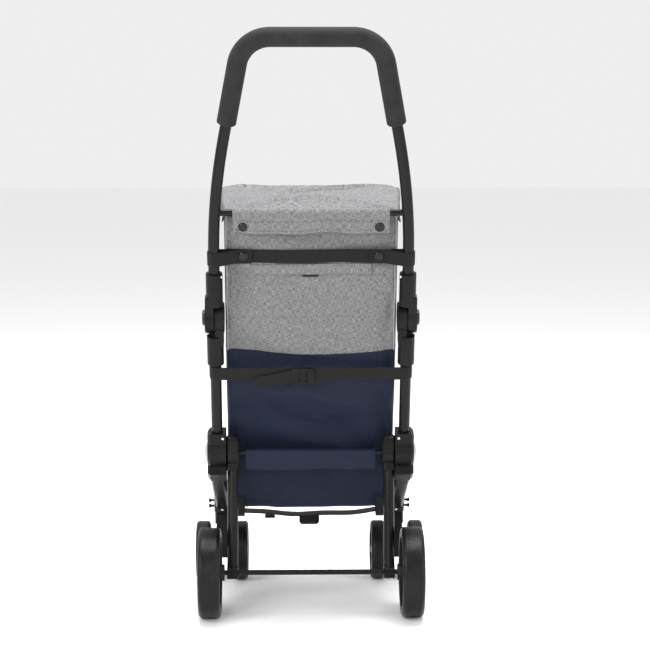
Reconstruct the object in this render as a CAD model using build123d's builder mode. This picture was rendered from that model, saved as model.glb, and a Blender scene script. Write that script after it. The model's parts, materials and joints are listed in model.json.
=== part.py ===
from build123d import *
import os
from math import asin, cos, hypot, radians, sin

# Folding shopping trolley, in millimetres.
# +Z is up, +Y is the way it is pushed, +X is to the right of the person pushing it.
# The origin is on the floor under the middle of the whole trolley.
# A point of the frame is given as (forward, along): forward is square to the leaning
# plane of the side tubes, and along is up that plane from the leg pivot.

# Frame
frame_lean = 17.0
frame_half_width = 172.0
tube_diameter = 20.0
tube_wall = 1.5
pivot_height = 298.0
pivot_ahead = 45.0
hinge_distance = 268.0
crossbar_distance = hinge_distance + 206.0
grip_distance = hinge_distance + 521.5
tube_radius = tube_diameter / 2

# Handle loop and its foam grip
knee_distance = hinge_distance + 232.0
knee_radius = 1200.0
loop_narrowing = 54.5
loop_half_width = frame_half_width - loop_narrowing
corner_radius = 57.0
grip_wall = 7.0
grip_radius = tube_radius + grip_wall
grip_leg_length = 153.5
grip_end_distance = grip_distance - grip_leg_length
grip_end_rounding = 4.0

# Fold hinges
hinge_radius = 28.0
sleeve_wall = 5.0
sleeve_radius = tube_radius + sleeve_wall
hinge_inner = frame_half_width - sleeve_radius - 1.5
hinge_outer = frame_half_width + sleeve_radius + 3.0
hinge_forward = tube_radius + 2.0
hinge_split_gap = 0.4
hinge_edge_chamfer = 1.2
hinge_neck_inset = 1.0
hinge_neck_step = 3.5
sleeve_gap = 2.0
lower_sleeve_length = 56.0
upper_sleeve_length = 62.0
sleeve_end_wall = 3.0
sleeve_rounding = 2.0
hinge_pin_diameter = 8.0
pin_clearance = 0.08
pin_inset = 1.5

# Hinge push buttons and their return springs
button_diameter = 28.0
button_proud = 5.0
button_cap = 9.0
button_rounding = 2.5
button_stem_radius = 4.5
button_travel = 4.0
button_clearance = 0.35
button_stop_gap = 0.5
pocket_depth = 12.0
spring_diameter = 15.0
spring_wire = 1.2
spring_turns = 3.0
spring_play = 0.1

# Side castings that join the tube, the front arm and the leg
casting_radius = 28.0
casting_inner = hinge_inner
casting_outer = hinge_outer
casting_chamfer = 5.0
casting_sleeve_height = 45.0
casting_floor = 5.0
tube_seat_distance = 20.0
disc_radius = 21.0
disc_height = 6.0
disc_recess = 1.5

# Front arms
arm_root_ahead = 26.0
arm_root_drop = 42.0
arm_root_height = 34.0
arm_tip_height = 26.0
arm_width = 27.0
arm_rounding = 6.0
lug_length = 46.0
spigot_length = 30.0
spigot_width = 15.0
spigot_height = 20.0
stem_ahead = 299.0
arm_tip_z = 147.0
boss_radius = 17.0
boss_bottom_z = 130.0
boss_top_z = 163.0
boss_roof = 5.0

# Strap pegs
peg_radius = 2.5
peg_length = 6.0
peg_head_radius = 3.9
peg_head_length = 4.5
peg_head_round = 1.4
peg_gap = 0.2
peg_heights = (11.0, 22.0)

# Castors
castor_half_spacing = frame_half_width
castor_trail = 25.0
castor_wheel_radius = 57.5
castor_tyre_thickness = 11.0
castor_wheel_width = 28.0
castor_wheel_inner = 23.0
castor_body_width = 24.0
castor_body_ahead = 14.0
castor_body_back = 15.0
castor_body_rounding = 4.0
castor_neck_height = 28.0
castor_heel_rise = 8.0
castor_heel_drop = 14.0
castor_heel_back = 12.0
castor_heel_ahead = 10.0
castor_spacer_radius = 9.0
castor_spacer_gap = 0.5
castor_axle_diameter = 8.0
castor_hub_radius = 11.0
castor_web_holes = 6
castor_web_hole_radius = 7.5
castor_grooves = 3
stem_diameter = 11.0
stem_end_gap = 2.0
bush_wall = 3.0
stem_clearance = 0.08
castor_head_gap = 1.5
castor_head_radius = 15.5
castor_head_height = 22.0
castor_cap_radius = 6.5

# Rear legs, axle and wheels
leg_gap = 0.5
leg_half_spacing = casting_inner - leg_gap - 11.0
leg_tube_diameter = 20.0
leg_socket_radius = 24.0
leg_socket_length = 33.0
leg_bonnet_rise = 18.0
leg_bonnet_radius = 17.0
leg_socket_half_width = 12.0
leg_socket_width = 22.0
leg_socket_depth = 26.0
leg_socket_chamfer = 3.0
leg_socket_rounding = 5.0
leg_tube_start = 12.0
leg_tube_foot_gap = 2.0
pivot_rod_diameter = 9.5
foot_radius = 12.0
foot_chamfer = 1.0
foot_plug_length = 34.0
rear_wheel_radius = 82.5
rear_tyre_thickness = 13.0
rear_wheel_width = 40.5
rear_axle_diameter = 9.5
rear_hub_boss = 6.5
rear_hub_radius = 15.0
rear_hub_gap = 5.0
rear_wheel_inner = leg_half_spacing + leg_tube_diameter / 2 + rear_hub_boss + rear_hub_gap
rear_web_holes = 8
rear_web_hole_radius = 12.0
rear_grooves = 7
hub_clearance = 0.09
hub_recess = 4.5
axle_cap_radius = 9.0
axle_cap_gap = 0.5
axle_end = 2.0
cap_thickness = 3.0

# Wheel mouldings
tread_shoulder = 7.0
groove_width = 1.5
groove_depth = 1.2
groove_spacing = 4.3
seat_thickness = 5.0
web_thickness = 5.0
seat_inset = 1.0

# Bag and lid
bag_half_width = hinge_inner - 2.0
bag_wall = 4.0
bag_back = tube_radius + 2.0
bag_lower_back = bag_back + 15.5
bag_front = bag_back + 193.0
bag_bottom_z = pivot_height - 120.0
bag_top_back = crossbar_distance - 5.5
bag_top_front = bag_top_back - 24.0
bag_split_gap = 1.0
bag_bottom_rounding = 14.0
bag_kink = 42.0
bag_kink_rise = 20.0
board_thickness = 3.0
board_side_gap = 2.0
board_end_gap = 3.0
board_rounding = 12.0
lid_thickness = 4.0
lid_skirt = 24.0
lid_front_skirt = 55.0
lid_gap = 1.0
lid_half_width = bag_half_width + lid_gap + lid_thickness

# Webbing and flaps
webbing = 1.8
webbing_width = 25.0
webbing_gap = 0.3
upper_strap_distance = hinge_distance + 121.0
lower_strap_distance = hinge_distance - 101.0
upper_crossbar_diameter = 12.0
upper_flap_half_width = frame_half_width - 34.5
upper_flap_drop = 35.0
upper_flap_reach = 16.0
lower_flap_half_width = leg_half_spacing - 23.0
lower_flap_drop = 30.0
lower_flap_reach = 22.0
flap_hem = 12.0
snap_radius = 8.5
snap_height = 3.2
snap_taper = 25.0
snap_x = frame_half_width - 52.0
snap_above_hem = 11.0
tab_end_inset = 15.0
tab_bend = 16.0
ladder_x = -14.5
ladder_drop = 4.0
ladder_width = 41.0
ladder_height = 33.0
ladder_thickness = 4.0
ladder_bar = 6.0
ladder_slot = 4.5
ladder_slot_spacing = 12.5
ladder_rounding = 4.0
bottom_strap_z = 136.0
bottom_strap_sag = 11.0
strap_end_gap = 0.5
slider_x = -78.0
slider_length = 20.0
slider_thickness = 6.0
slider_overhang = 4.0
slider_rounding = 3.0
buckle_length = 40.0
buckle_drop = 20.0
buckle_depth = 14.0
buckle_rounding = 6.0
buckle_chamfer = 4.0
fitting_gap = 0.2

# Rivets
rivet_radius = 2.8
rivet_height = 1.6
rivet_taper = 20.0
rivet_inset = 6.0
rivet_drop = 8.0

os.makedirs("parts", exist_ok=True)

lean_sin = sin(radians(frame_lean))
lean_cos = cos(radians(frame_lean))
rear_reach = grip_distance * lean_sin - pivot_ahead + grip_radius
front_reach = stem_ahead - castor_trail + castor_wheel_radius
rear_axle_y = (rear_reach - front_reach) / 2
pivot_y = rear_axle_y + pivot_ahead
stem_y = rear_axle_y + stem_ahead
rear_axle_z = rear_wheel_radius
castor_axle_y = stem_y - castor_trail
castor_axle_z = castor_wheel_radius
sides = (("left", -1), ("right", 1))


def side_point(forward, along):
    """(Y, Z) of a point of the frame."""
    return (
        pivot_y - along * lean_sin + forward * lean_cos,
        pivot_height + along * lean_cos + forward * lean_sin,
    )


def frame_plane(x, forward, along):
    """Plane square to the side tubes: its X runs across, its Y runs forward."""
    y, z = side_point(forward, along)
    return Plane(origin=(x, y, z), x_dir=(1, 0, 0), z_dir=(0, -lean_sin, lean_cos))


def back_plane(x, forward, along):
    """Plane that faces the person pushing: its X runs across, its Y up the frame."""
    y, z = side_point(forward, along)
    return Plane(origin=(x, y, z), x_dir=(1, 0, 0), z_dir=(0, -lean_cos, -lean_sin))


def along_at_height(forward, z):
    """How far up the frame a point with this forward distance reaches height z."""
    return (z - pivot_height - forward * lean_sin) / lean_cos


def keep(piece, name):
    """Names a finished piece and writes its file."""
    piece.part.label = name
    export_step(piece.part, f"parts/{name}.step")


# ---------------------------------------------------------------- side tubes
tube_top = hinge_distance - hinge_radius - sleeve_gap - sleeve_end_wall
with BuildPart() as main_tubes:
    for _, side in sides:
        with BuildSketch(frame_plane(side * frame_half_width, 0, tube_seat_distance)):
            Circle(tube_radius)
            Circle(tube_radius - tube_wall, mode=Mode.SUBTRACT)
    extrude(amount=tube_top - tube_seat_distance)
keep(main_tubes, "main_tubes")

# ---------------------------------------------------------------- fold hinges
hinge_point = side_point(hinge_forward, hinge_distance)
hinge_middle = (hinge_inner + hinge_outer) / 2
pin_start = hinge_inner + pin_inset
pin_end = hinge_outer - pocket_depth - pin_inset
button_pocket = pocket_depth + button_proud - button_cap
tube_direction = Axis((0, 0, 0), (0, -lean_sin, lean_cos))


def hinge_shell(side, up, inner, outer):
    """One half of a hinge: a half-thickness disc, and a sleeve round the tube's end."""
    start = hinge_distance + up * (hinge_radius + sleeve_gap)
    length = upper_sleeve_length if up > 0 else lower_sleeve_length
    neck_half = sleeve_radius - hinge_neck_step
    neck = (
        side_point(-neck_half, hinge_distance),
        side_point(neck_half, hinge_distance),
        side_point(neck_half, start + up * sleeve_radius),
        side_point(-neck_half, start + up * sleeve_radius),
    )
    with BuildPart() as shell:
        with BuildSketch(Plane.YZ.offset(side * inner)):
            with Locations(hinge_point):
                Circle(hinge_radius)
        extrude(amount=side * (outer - inner))
        chamfer(shell.edges().filter_by(GeomType.CIRCLE), hinge_edge_chamfer)
        with BuildSketch(Plane.YZ.offset(side * (inner + hinge_neck_inset))):
            with BuildLine():
                Polyline(*neck, close=True)
            make_face()
        extrude(amount=side * (outer - inner - 2 * hinge_neck_inset))
        with BuildSketch(frame_plane(side * frame_half_width, 0, start)):
            Circle(sleeve_radius)
        extrude(amount=up * length)
        rims = shell.faces().sort_by(tube_direction)
        fillet((rims[-1] if up > 0 else rims[0]).edges(), sleeve_rounding)
        with BuildSketch(frame_plane(side * frame_half_width, 0, start + up * sleeve_end_wall)):
            Circle(tube_radius)
        extrude(amount=up * length, mode=Mode.SUBTRACT)
    return shell


for name, side in sides:
    with BuildPart() as hinge_lower:
        add(hinge_shell(side, -1, hinge_inner, hinge_middle - hinge_split_gap / 2))
        with BuildSketch(Plane.YZ.offset(side * pin_start)):
            with Locations(hinge_point):
                Circle(hinge_pin_diameter / 2)
        extrude(amount=side * (hinge_middle - pin_start), mode=Mode.SUBTRACT)
    keep(hinge_lower, f"hinge_lower_{name}")

    with BuildPart() as hinge_upper:
        add(hinge_shell(side, 1, hinge_middle + hinge_split_gap / 2, hinge_outer))
        with BuildSketch(Plane.YZ.offset(side * (hinge_outer - pocket_depth))):
            with Locations(hinge_point):
                Circle(button_diameter / 2 + button_clearance)
        extrude(amount=side * pocket_depth * 2, mode=Mode.SUBTRACT)
        with BuildSketch(Plane.YZ.offset(side * hinge_middle)):
            with Locations(hinge_point):
                Circle(hinge_pin_diameter / 2 + pin_clearance)
        extrude(amount=side * (pin_end - hinge_middle + pin_inset / 2), mode=Mode.SUBTRACT)
    keep(hinge_upper, f"hinge_upper_{name}")

    with BuildPart() as push_button:
        with BuildSketch(Plane.YZ.offset(side * (hinge_outer + button_proud))):
            with Locations(hinge_point):
                Circle(button_diameter / 2)
        extrude(amount=-side * button_cap)
        crown = push_button.faces().sort_by(Axis.X)[-1 if side > 0 else 0]
        fillet(crown.edges(), button_rounding)
        with BuildSketch(Plane.YZ.offset(side * (hinge_outer + button_proud - button_cap))):
            with Locations(hinge_point):
                Circle(button_stem_radius)
        extrude(amount=-side * (button_pocket - button_travel - button_stop_gap))
    keep(push_button, f"push_button_{name}")

    spring_rise = button_pocket - spring_wire - 2 * spring_play
    spring_start = hinge_outer - pocket_depth + spring_wire / 2 + spring_play
    with BuildPart() as button_spring:
        with BuildLine() as coil:
            Helix(
                pitch=spring_rise / spring_turns,
                height=spring_rise,
                radius=(spring_diameter - spring_wire) / 2,
                center=(side * spring_start, *hinge_point),
                direction=(side, 0, 0),
            )
        with BuildSketch(Plane(origin=coil.line @ 0, z_dir=coil.line % 0)):
            Circle(spring_wire / 2)
        sweep(path=coil.line)
    keep(button_spring, f"button_spring_{name}")

with BuildPart() as hinge_pins:
    for _, side in sides:
        with BuildSketch(Plane.YZ.offset(side * pin_start)):
            with Locations(hinge_point):
                Circle(hinge_pin_diameter / 2)
        extrude(amount=side * (pin_end - pin_start))
keep(hinge_pins, "hinge_pins")

# ---------------------------------------------------------------- side castings
pivot_point = side_point(0, 0)
arm_root = (pivot_y + arm_root_ahead, pivot_height - arm_root_drop)
arm_tip = (stem_y, arm_tip_z)
arm_length = hypot(arm_tip[0] - arm_root[0], arm_tip[1] - arm_root[1])
arm_cos = (arm_tip[0] - arm_root[0]) / arm_length
arm_sin = (arm_tip[1] - arm_root[1]) / arm_length


def arm_point(out, up):
    """(Y, Z) of a point out along the front arm from its root, and up square to it."""
    return (
        arm_root[0] + out * arm_cos - up * arm_sin,
        arm_root[1] + out * arm_sin + up * arm_cos,
    )


arm_root_plane = Plane(
    origin=(0, *arm_root), x_dir=(1, 0, 0), z_dir=(0, arm_cos, arm_sin)
)

for name, side in sides:
    with BuildPart() as knuckle:
        with BuildSketch(Plane.YZ.offset(side * casting_inner)):
            with Locations(pivot_point):
                Circle(casting_radius)
            with BuildLine():
                Polyline(
                    side_point(-sleeve_radius, 0),
                    side_point(sleeve_radius, 0),
                    side_point(sleeve_radius, casting_sleeve_height),
                    side_point(-sleeve_radius, casting_sleeve_height),
                    close=True,
                )
            make_face()
            with BuildLine():
                Polyline(
                    arm_point(0, arm_root_height / 2),
                    arm_point(0, -arm_root_height / 2),
                    arm_point(-lug_length, -arm_root_height / 2),
                    arm_point(-lug_length, arm_root_height / 2),
                    close=True,
                )
            make_face()
        extrude(amount=side * (casting_outer - casting_inner))
        outside = knuckle.faces().sort_by(Axis.X)[-1 if side > 0 else 0]
        chamfer(outside.edges(), casting_chamfer)
        with BuildSketch(Plane.YZ.offset(side * casting_outer)):
            with Locations(pivot_point):
                Circle(disc_radius)
        extrude(amount=-side * disc_recess, mode=Mode.SUBTRACT)
        with BuildSketch(frame_plane(side * frame_half_width, 0, tube_seat_distance)):
            Circle(tube_radius)
        extrude(amount=casting_sleeve_height, mode=Mode.SUBTRACT)
        with BuildSketch(Plane.YZ.offset(side * casting_inner)):
            with Locations(pivot_point):
                Circle(pivot_rod_diameter / 2)
        extrude(amount=side * (casting_outer - casting_inner - casting_floor), mode=Mode.SUBTRACT)
        with BuildSketch(arm_root_plane):
            with Locations((side * castor_half_spacing, 0)):
                Rectangle(spigot_width, spigot_height)
        extrude(amount=spigot_length)
    keep(knuckle, f"knuckle_{name}")

with BuildPart() as knuckle_discs:
    dome_radius = (disc_radius**2 + disc_height**2) / (2 * disc_height)
    for _, side in sides:
        with BuildSketch(Plane.XY.offset(pivot_height)):
            with BuildLine():
                base = (side * (casting_outer - disc_recess), pivot_y)
                rim = (side * casting_outer, pivot_y + disc_radius)
                peak = (side * (casting_outer + disc_height), pivot_y)
                half = asin(disc_radius / dome_radius) / 2
                shoulder = (
                    side * (casting_outer + disc_height - dome_radius * (1 - cos(half))),
                    pivot_y + dome_radius * sin(half),
                )
                Polyline(peak, base, (base[0], rim[1]), rim)
                ThreePointArc(rim, shoulder, peak)
            make_face()
        revolve(axis=Axis((0, *pivot_point), (1, 0, 0)))
keep(knuckle_discs, "knuckle_discs")

# ---------------------------------------------------------------- front arms
bush_radius = stem_diameter / 2 + bush_wall
bush_top_z = boss_top_z - boss_roof
for name, side in sides:
    arm_inner = castor_half_spacing - arm_width / 2
    with BuildPart() as front_arm:
        with BuildSketch(Plane.YZ.offset(side * arm_inner)):
            with BuildLine():
                Polyline(
                    arm_point(0, arm_root_height / 2),
                    arm_point(0, -arm_root_height / 2),
                    arm_point(arm_length, -arm_tip_height / 2),
                    arm_point(arm_length, arm_tip_height / 2),
                    close=True,
                )
            make_face()
        extrude(amount=side * arm_width)
        cheeks = front_arm.faces().filter_by(Plane.YZ)
        long_edges = [cheek.edges().sort_by(SortBy.LENGTH)[-2:] for cheek in cheeks]
        fillet([edge for pair in long_edges for edge in pair], arm_rounding)
        with BuildSketch(Plane.XY.offset(boss_bottom_z)):
            with Locations((side * castor_half_spacing, stem_y)):
                Circle(boss_radius)
        extrude(amount=boss_top_z - boss_bottom_z)
        with BuildSketch(Plane.XY.offset(boss_bottom_z)):
            with Locations((side * castor_half_spacing, stem_y)):
                Circle(3 * boss_radius)
        extrude(amount=-2 * boss_radius, mode=Mode.SUBTRACT)
        with BuildSketch(Plane.XY.offset(boss_bottom_z)):
            with Locations((side * castor_half_spacing, stem_y)):
                Circle(bush_radius)
        extrude(amount=bush_top_z - boss_bottom_z, mode=Mode.SUBTRACT)
        with BuildSketch(arm_root_plane):
            with Locations((side * castor_half_spacing, 0)):
                Rectangle(spigot_width, spigot_height)
        extrude(amount=spigot_length, mode=Mode.SUBTRACT)
    keep(front_arm, f"front_arm_{name}")

with BuildPart() as castor_bushes:
    with BuildSketch(Plane.XY.offset(boss_bottom_z)):
        for _, side in sides:
            with Locations((side * castor_half_spacing, stem_y)):
                Circle(bush_radius)
                Circle(stem_diameter / 2 + stem_clearance, mode=Mode.SUBTRACT)
    extrude(amount=bush_top_z - boss_bottom_z)
keep(castor_bushes, "castor_bushes")

# Two round-headed pegs on the outside of each arm's tip hold the ends of the bottom strap.
arm_outer = castor_half_spacing + boss_radius
with BuildPart() as strap_pegs:
    for _, side in sides:
        peg_start = side * (arm_outer + peg_gap)
        for height in peg_heights:
            with BuildSketch(Plane.YZ.offset(peg_start)):
                with Locations((stem_y, boss_bottom_z + height)):
                    Circle(peg_radius)
            extrude(amount=side * peg_length)
            with BuildSketch(Plane.YZ.offset(peg_start + side * peg_length)):
                with Locations((stem_y, boss_bottom_z + height)):
                    Circle(peg_head_radius)
            extrude(amount=side * peg_head_length)
    peg_end = arm_outer + peg_gap + peg_length + peg_head_length
    peg_rims = strap_pegs.edges().filter_by(lambda edge: abs(abs(edge.center().X) - peg_end) < 0.1)
    fillet(peg_rims, peg_head_round)
keep(strap_pegs, "strap_pegs")

# ---------------------------------------------------------------- leg pivot rod
with BuildPart() as lower_crossbar:
    with BuildSketch(Plane.YZ.offset(-(casting_outer - casting_floor))):
        with Locations(pivot_point):
            Circle(pivot_rod_diameter / 2)
    extrude(amount=2 * (casting_outer - casting_floor))
keep(lower_crossbar, "lower_crossbar")

# ---------------------------------------------------------------- rear legs
leg_length = hypot(pivot_ahead, pivot_height - rear_axle_z)
leg_sin = pivot_ahead / leg_length
leg_cos = (pivot_height - rear_axle_z) / leg_length


def leg_plane(x, down):
    """Plane square to a rear leg, down from the pivot, facing the axle."""
    return Plane(
        origin=(x, pivot_y - down * leg_sin, pivot_height - down * leg_cos),
        x_dir=(1, 0, 0),
        z_dir=(0, -leg_sin, -leg_cos),
    )


rear_axle_point = (rear_axle_y, rear_axle_z)
leg_tube_end = leg_length - foot_radius - leg_tube_foot_gap
leg_socket_inner = leg_half_spacing - leg_socket_half_width
for name, side in sides:
    leg_x = side * leg_half_spacing
    with BuildPart() as leg_socket:
        with BuildSketch(Plane.YZ.offset(side * leg_socket_inner)):
            with Locations(pivot_point):
                Circle(leg_socket_radius)
            with Locations(side_point(0, leg_bonnet_rise)):
                Circle(leg_bonnet_radius)
            make_hull()
        extrude(amount=side * (casting_inner - leg_gap - leg_socket_inner))
        cheeks = leg_socket.faces().filter_by(Axis.X)
        chamfer([edge for cheek in cheeks for edge in cheek.edges()], leg_socket_chamfer)
        with BuildSketch(leg_plane(leg_x, 0)):
            RectangleRounded(leg_socket_width, leg_socket_depth, leg_socket_rounding)
        extrude(amount=leg_socket_length)
        with BuildSketch(leg_plane(leg_x, leg_tube_start)):
            Circle(leg_tube_diameter / 2)
        extrude(amount=leg_socket_length, mode=Mode.SUBTRACT)
        with BuildSketch(Plane.YZ.offset(-casting_outer)):
            with Locations(pivot_point):
                Circle(pivot_rod_diameter / 2 + pin_clearance)
        extrude(amount=2 * casting_outer, mode=Mode.SUBTRACT)
    keep(leg_socket, f"leg_socket_{name}")

    with BuildPart() as rear_leg:
        with BuildSketch(leg_plane(leg_x, leg_tube_start)):
            Circle(leg_tube_diameter / 2)
            Circle(leg_tube_diameter / 2 - tube_wall, mode=Mode.SUBTRACT)
        extrude(amount=leg_tube_end - leg_tube_start)
    keep(rear_leg, f"rear_leg_{name}")

    with BuildPart() as leg_foot:
        with BuildSketch(Plane.YZ.offset(leg_x - leg_tube_diameter / 2)):
            with Locations(rear_axle_point):
                Circle(foot_radius)
        extrude(amount=leg_tube_diameter)
        chamfer(leg_foot.edges().filter_by(GeomType.CIRCLE), foot_chamfer)
        with BuildSketch(leg_plane(leg_x, leg_tube_end)):
            Circle(leg_tube_diameter / 2)
        extrude(amount=leg_length - leg_tube_end)
        with BuildSketch(leg_plane(leg_x, leg_tube_end)):
            Circle(leg_tube_diameter / 2 - tube_wall)
        extrude(amount=-foot_plug_length)
        with BuildSketch(Plane.YZ.offset(-rear_wheel_inner)):
            with Locations(rear_axle_point):
                Circle(rear_axle_diameter / 2)
        extrude(amount=2 * rear_wheel_inner, mode=Mode.SUBTRACT)
    keep(leg_foot, f"leg_foot_{name}")

rear_hub_end = rear_wheel_inner + rear_wheel_width - hub_recess
with BuildPart() as rear_axle:
    with BuildSketch(Plane.YZ.offset(-(rear_hub_end + axle_end))):
        with Locations(rear_axle_point):
            Circle(rear_axle_diameter / 2)
    extrude(amount=2 * (rear_hub_end + axle_end))
keep(rear_axle, "rear_axle")

with BuildPart() as axle_caps:
    for _, side in sides:
        with BuildSketch(Plane.YZ.offset(side * (rear_hub_end + axle_cap_gap))):
            with Locations(rear_axle_point):
                Circle(axle_cap_radius)
        extrude(amount=side * cap_thickness)
        with BuildSketch(Plane.YZ.offset(side * (rear_hub_end + axle_cap_gap))):
            with Locations(rear_axle_point):
                Circle(rear_axle_diameter / 2)
        extrude(amount=side * (axle_end - axle_cap_gap), mode=Mode.SUBTRACT)
keep(axle_caps, "axle_caps")


# ---------------------------------------------------------------- wheels
def tyre(side, inner, width, axle_y, radius, thickness, grooves):
    """A soft tyre round an X axis: rounded shoulders, fine grooves round the tread."""
    with BuildPart() as ring:
        with BuildSketch(Plane.XY.offset(radius)) as section:
            with Locations((side * (inner + width / 2), axle_y + radius - thickness / 2)):
                Rectangle(width, thickness)
            fillet(section.vertices().group_by(Axis.Y)[-1], tread_shoulder)
            with Locations((side * (inner + width / 2), axle_y + radius)):
                with GridLocations(groove_spacing, 1, grooves, 1):
                    Rectangle(groove_width, 2 * groove_depth, mode=Mode.SUBTRACT)
        revolve(axis=Axis((0, axle_y, radius), (1, 0, 0)))
    return ring


def rim(side, inner, width, axle_y, radius, outer, hub, bore, boss, holes, hole_radius):
    """A moulded wheel centre: hub, dished web with round holes, and tyre seat."""
    middle = inner + width / 2
    with BuildPart() as centre:
        with BuildSketch(Plane.XY.offset(radius)):
            with Locations((side * (inner + (width - hub_recess - boss) / 2), axle_y + hub / 2)):
                Rectangle(width - hub_recess + boss, hub)
            with Locations((side * middle, axle_y + outer / 2)):
                Rectangle(web_thickness, outer)
            with Locations((side * middle, axle_y + outer - seat_thickness / 2)):
                Rectangle(width - seat_inset, seat_thickness)
            with Locations((side * middle, axle_y)):
                Rectangle(2 * width, 2 * bore, mode=Mode.SUBTRACT)
        revolve(axis=Axis((0, axle_y, radius), (1, 0, 0)))
        with BuildSketch(Plane.YZ.offset(side * middle)):
            with Locations((axle_y, radius)):
                with PolarLocations((hub + outer - seat_thickness) / 2, holes):
                    Circle(hole_radius)
        extrude(amount=web_thickness, both=True, mode=Mode.SUBTRACT)
    return centre


for name, side in sides:
    rear_tyre = tyre(
        side, rear_wheel_inner, rear_wheel_width, rear_axle_y,
        rear_wheel_radius, rear_tyre_thickness, rear_grooves,
    )
    keep(rear_tyre, f"rear_tyre_{name}")
    rear_rim = rim(
        side, rear_wheel_inner, rear_wheel_width, rear_axle_y, rear_wheel_radius,
        rear_wheel_radius - rear_tyre_thickness, rear_hub_radius,
        rear_axle_diameter / 2 + hub_clearance, rear_hub_boss,
        rear_web_holes, rear_web_hole_radius,
    )
    keep(rear_rim, f"rear_rim_{name}")

# ---------------------------------------------------------------- castors
castor_top_z = boss_bottom_z - castor_head_gap
castor_hub_end = castor_wheel_inner + castor_wheel_width - hub_recess
castor_axle_point = (castor_axle_y, castor_axle_z)
castor_axle_end = castor_hub_end + axle_cap_gap
castor_spacer_end = castor_wheel_inner - castor_spacer_gap
for name, side in sides:
    castor_x = side * castor_half_spacing
    with BuildPart() as castor_body:
        with BuildSketch(Plane.YZ.offset(castor_x - castor_body_width / 2)):
            with BuildLine():
                Polyline(
                    (stem_y + castor_body_ahead, castor_top_z),
                    (stem_y - castor_body_back, castor_top_z),
                    (castor_axle_y - castor_body_back, castor_axle_z + castor_heel_rise),
                    (castor_axle_y - castor_heel_back, castor_axle_z - castor_heel_drop),
                    (castor_axle_y + castor_heel_ahead, castor_axle_z - castor_heel_drop),
                    (stem_y + castor_body_ahead, castor_top_z - castor_neck_height),
                    close=True,
                )
            make_face()
        extrude(amount=castor_body_width)
        fillet(castor_body.edges().filter_by(Axis.X), castor_body_rounding)
        with BuildSketch(Plane.XY.offset(castor_top_z)):
            with Locations((castor_x, stem_y)):
                Circle(castor_head_radius)
        extrude(amount=-castor_head_height)
        with BuildSketch(Plane.YZ.offset(castor_x - castor_spacer_end)):
            with Locations(castor_axle_point):
                Circle(castor_spacer_radius)
        extrude(amount=2 * castor_spacer_end)
        with BuildSketch(Plane.XY.offset(castor_top_z)):
            with Locations((castor_x, stem_y)):
                Circle(stem_diameter / 2)
        extrude(amount=bush_top_z - stem_end_gap - castor_top_z)
        with BuildSketch(Plane.YZ.offset(castor_x - castor_wheel_inner)):
            with Locations(castor_axle_point):
                Circle(castor_axle_diameter / 2)
        extrude(amount=2 * castor_wheel_inner, mode=Mode.SUBTRACT)
    keep(castor_body, f"castor_body_{name}")

    with BuildPart() as castor_axle:
        with BuildSketch(Plane.YZ.offset(castor_x - castor_axle_end)):
            with Locations(castor_axle_point):
                Circle(castor_axle_diameter / 2)
        extrude(amount=2 * castor_axle_end)
        for end in (-1, 1):
            with BuildSketch(Plane.YZ.offset(castor_x + end * castor_axle_end)):
                with Locations(castor_axle_point):
                    Circle(castor_cap_radius)
            extrude(amount=end * cap_thickness)
    keep(castor_axle, f"castor_axle_{name}")

    for place, offset in (("inner", -side), ("outer", side)):
        wheel_inner = castor_x * offset + castor_wheel_inner
        castor_tyre = tyre(
            offset, wheel_inner, castor_wheel_width, castor_axle_y,
            castor_wheel_radius, castor_tyre_thickness, castor_grooves,
        )
        keep(castor_tyre, f"castor_tyre_{name}_{place}")
        castor_rim = rim(
            offset, wheel_inner, castor_wheel_width, castor_axle_y, castor_wheel_radius,
            castor_wheel_radius - castor_tyre_thickness, castor_hub_radius,
            castor_axle_diameter / 2 + hub_clearance, 0.0,
            castor_web_holes, castor_web_hole_radius,
        )
        keep(castor_rim, f"castor_rim_{name}_{place}")

# ---------------------------------------------------------------- handle
loop_slope = (frame_half_width - loop_half_width) / (grip_distance - knee_distance)
grip_end_half_width = loop_half_width + loop_slope * (grip_distance - grip_end_distance)
handle_foot = hinge_distance + hinge_radius + sleeve_gap + sleeve_end_wall
loop_plane = back_plane(0, 0, 0)
with BuildPart() as handle_tube:
    with BuildLine(loop_plane) as loop:
        FilletPolyline(
            (-frame_half_width, handle_foot),
            (-frame_half_width, knee_distance),
            (-loop_half_width, grip_distance),
            (loop_half_width, grip_distance),
            (frame_half_width, knee_distance),
            (frame_half_width, handle_foot),
            radius=[knee_radius, corner_radius, corner_radius, knee_radius],
        )
    with BuildSketch(Plane(origin=loop.line @ 0, z_dir=loop.line % 0)):
        Circle(tube_radius)
        Circle(tube_radius - tube_wall, mode=Mode.SUBTRACT)
    sweep(path=loop.line)
keep(handle_tube, "handle_tube")

with BuildPart() as handle_grip:
    with BuildLine(loop_plane) as grip_line:
        FilletPolyline(
            (-grip_end_half_width, grip_end_distance),
            (-loop_half_width, grip_distance),
            (loop_half_width, grip_distance),
            (grip_end_half_width, grip_end_distance),
            radius=corner_radius,
        )
    with BuildSketch(Plane(origin=grip_line.line @ 0, z_dir=grip_line.line % 0)):
        Circle(grip_radius)
        Circle(tube_radius, mode=Mode.SUBTRACT)
    sweep(path=grip_line.line)
    grip_ends = handle_grip.faces().filter_by(GeomType.PLANE)
    fillet([face.edges().sort_by(SortBy.LENGTH)[-1] for face in grip_ends], grip_end_rounding)
keep(handle_grip, "handle_grip")

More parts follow.
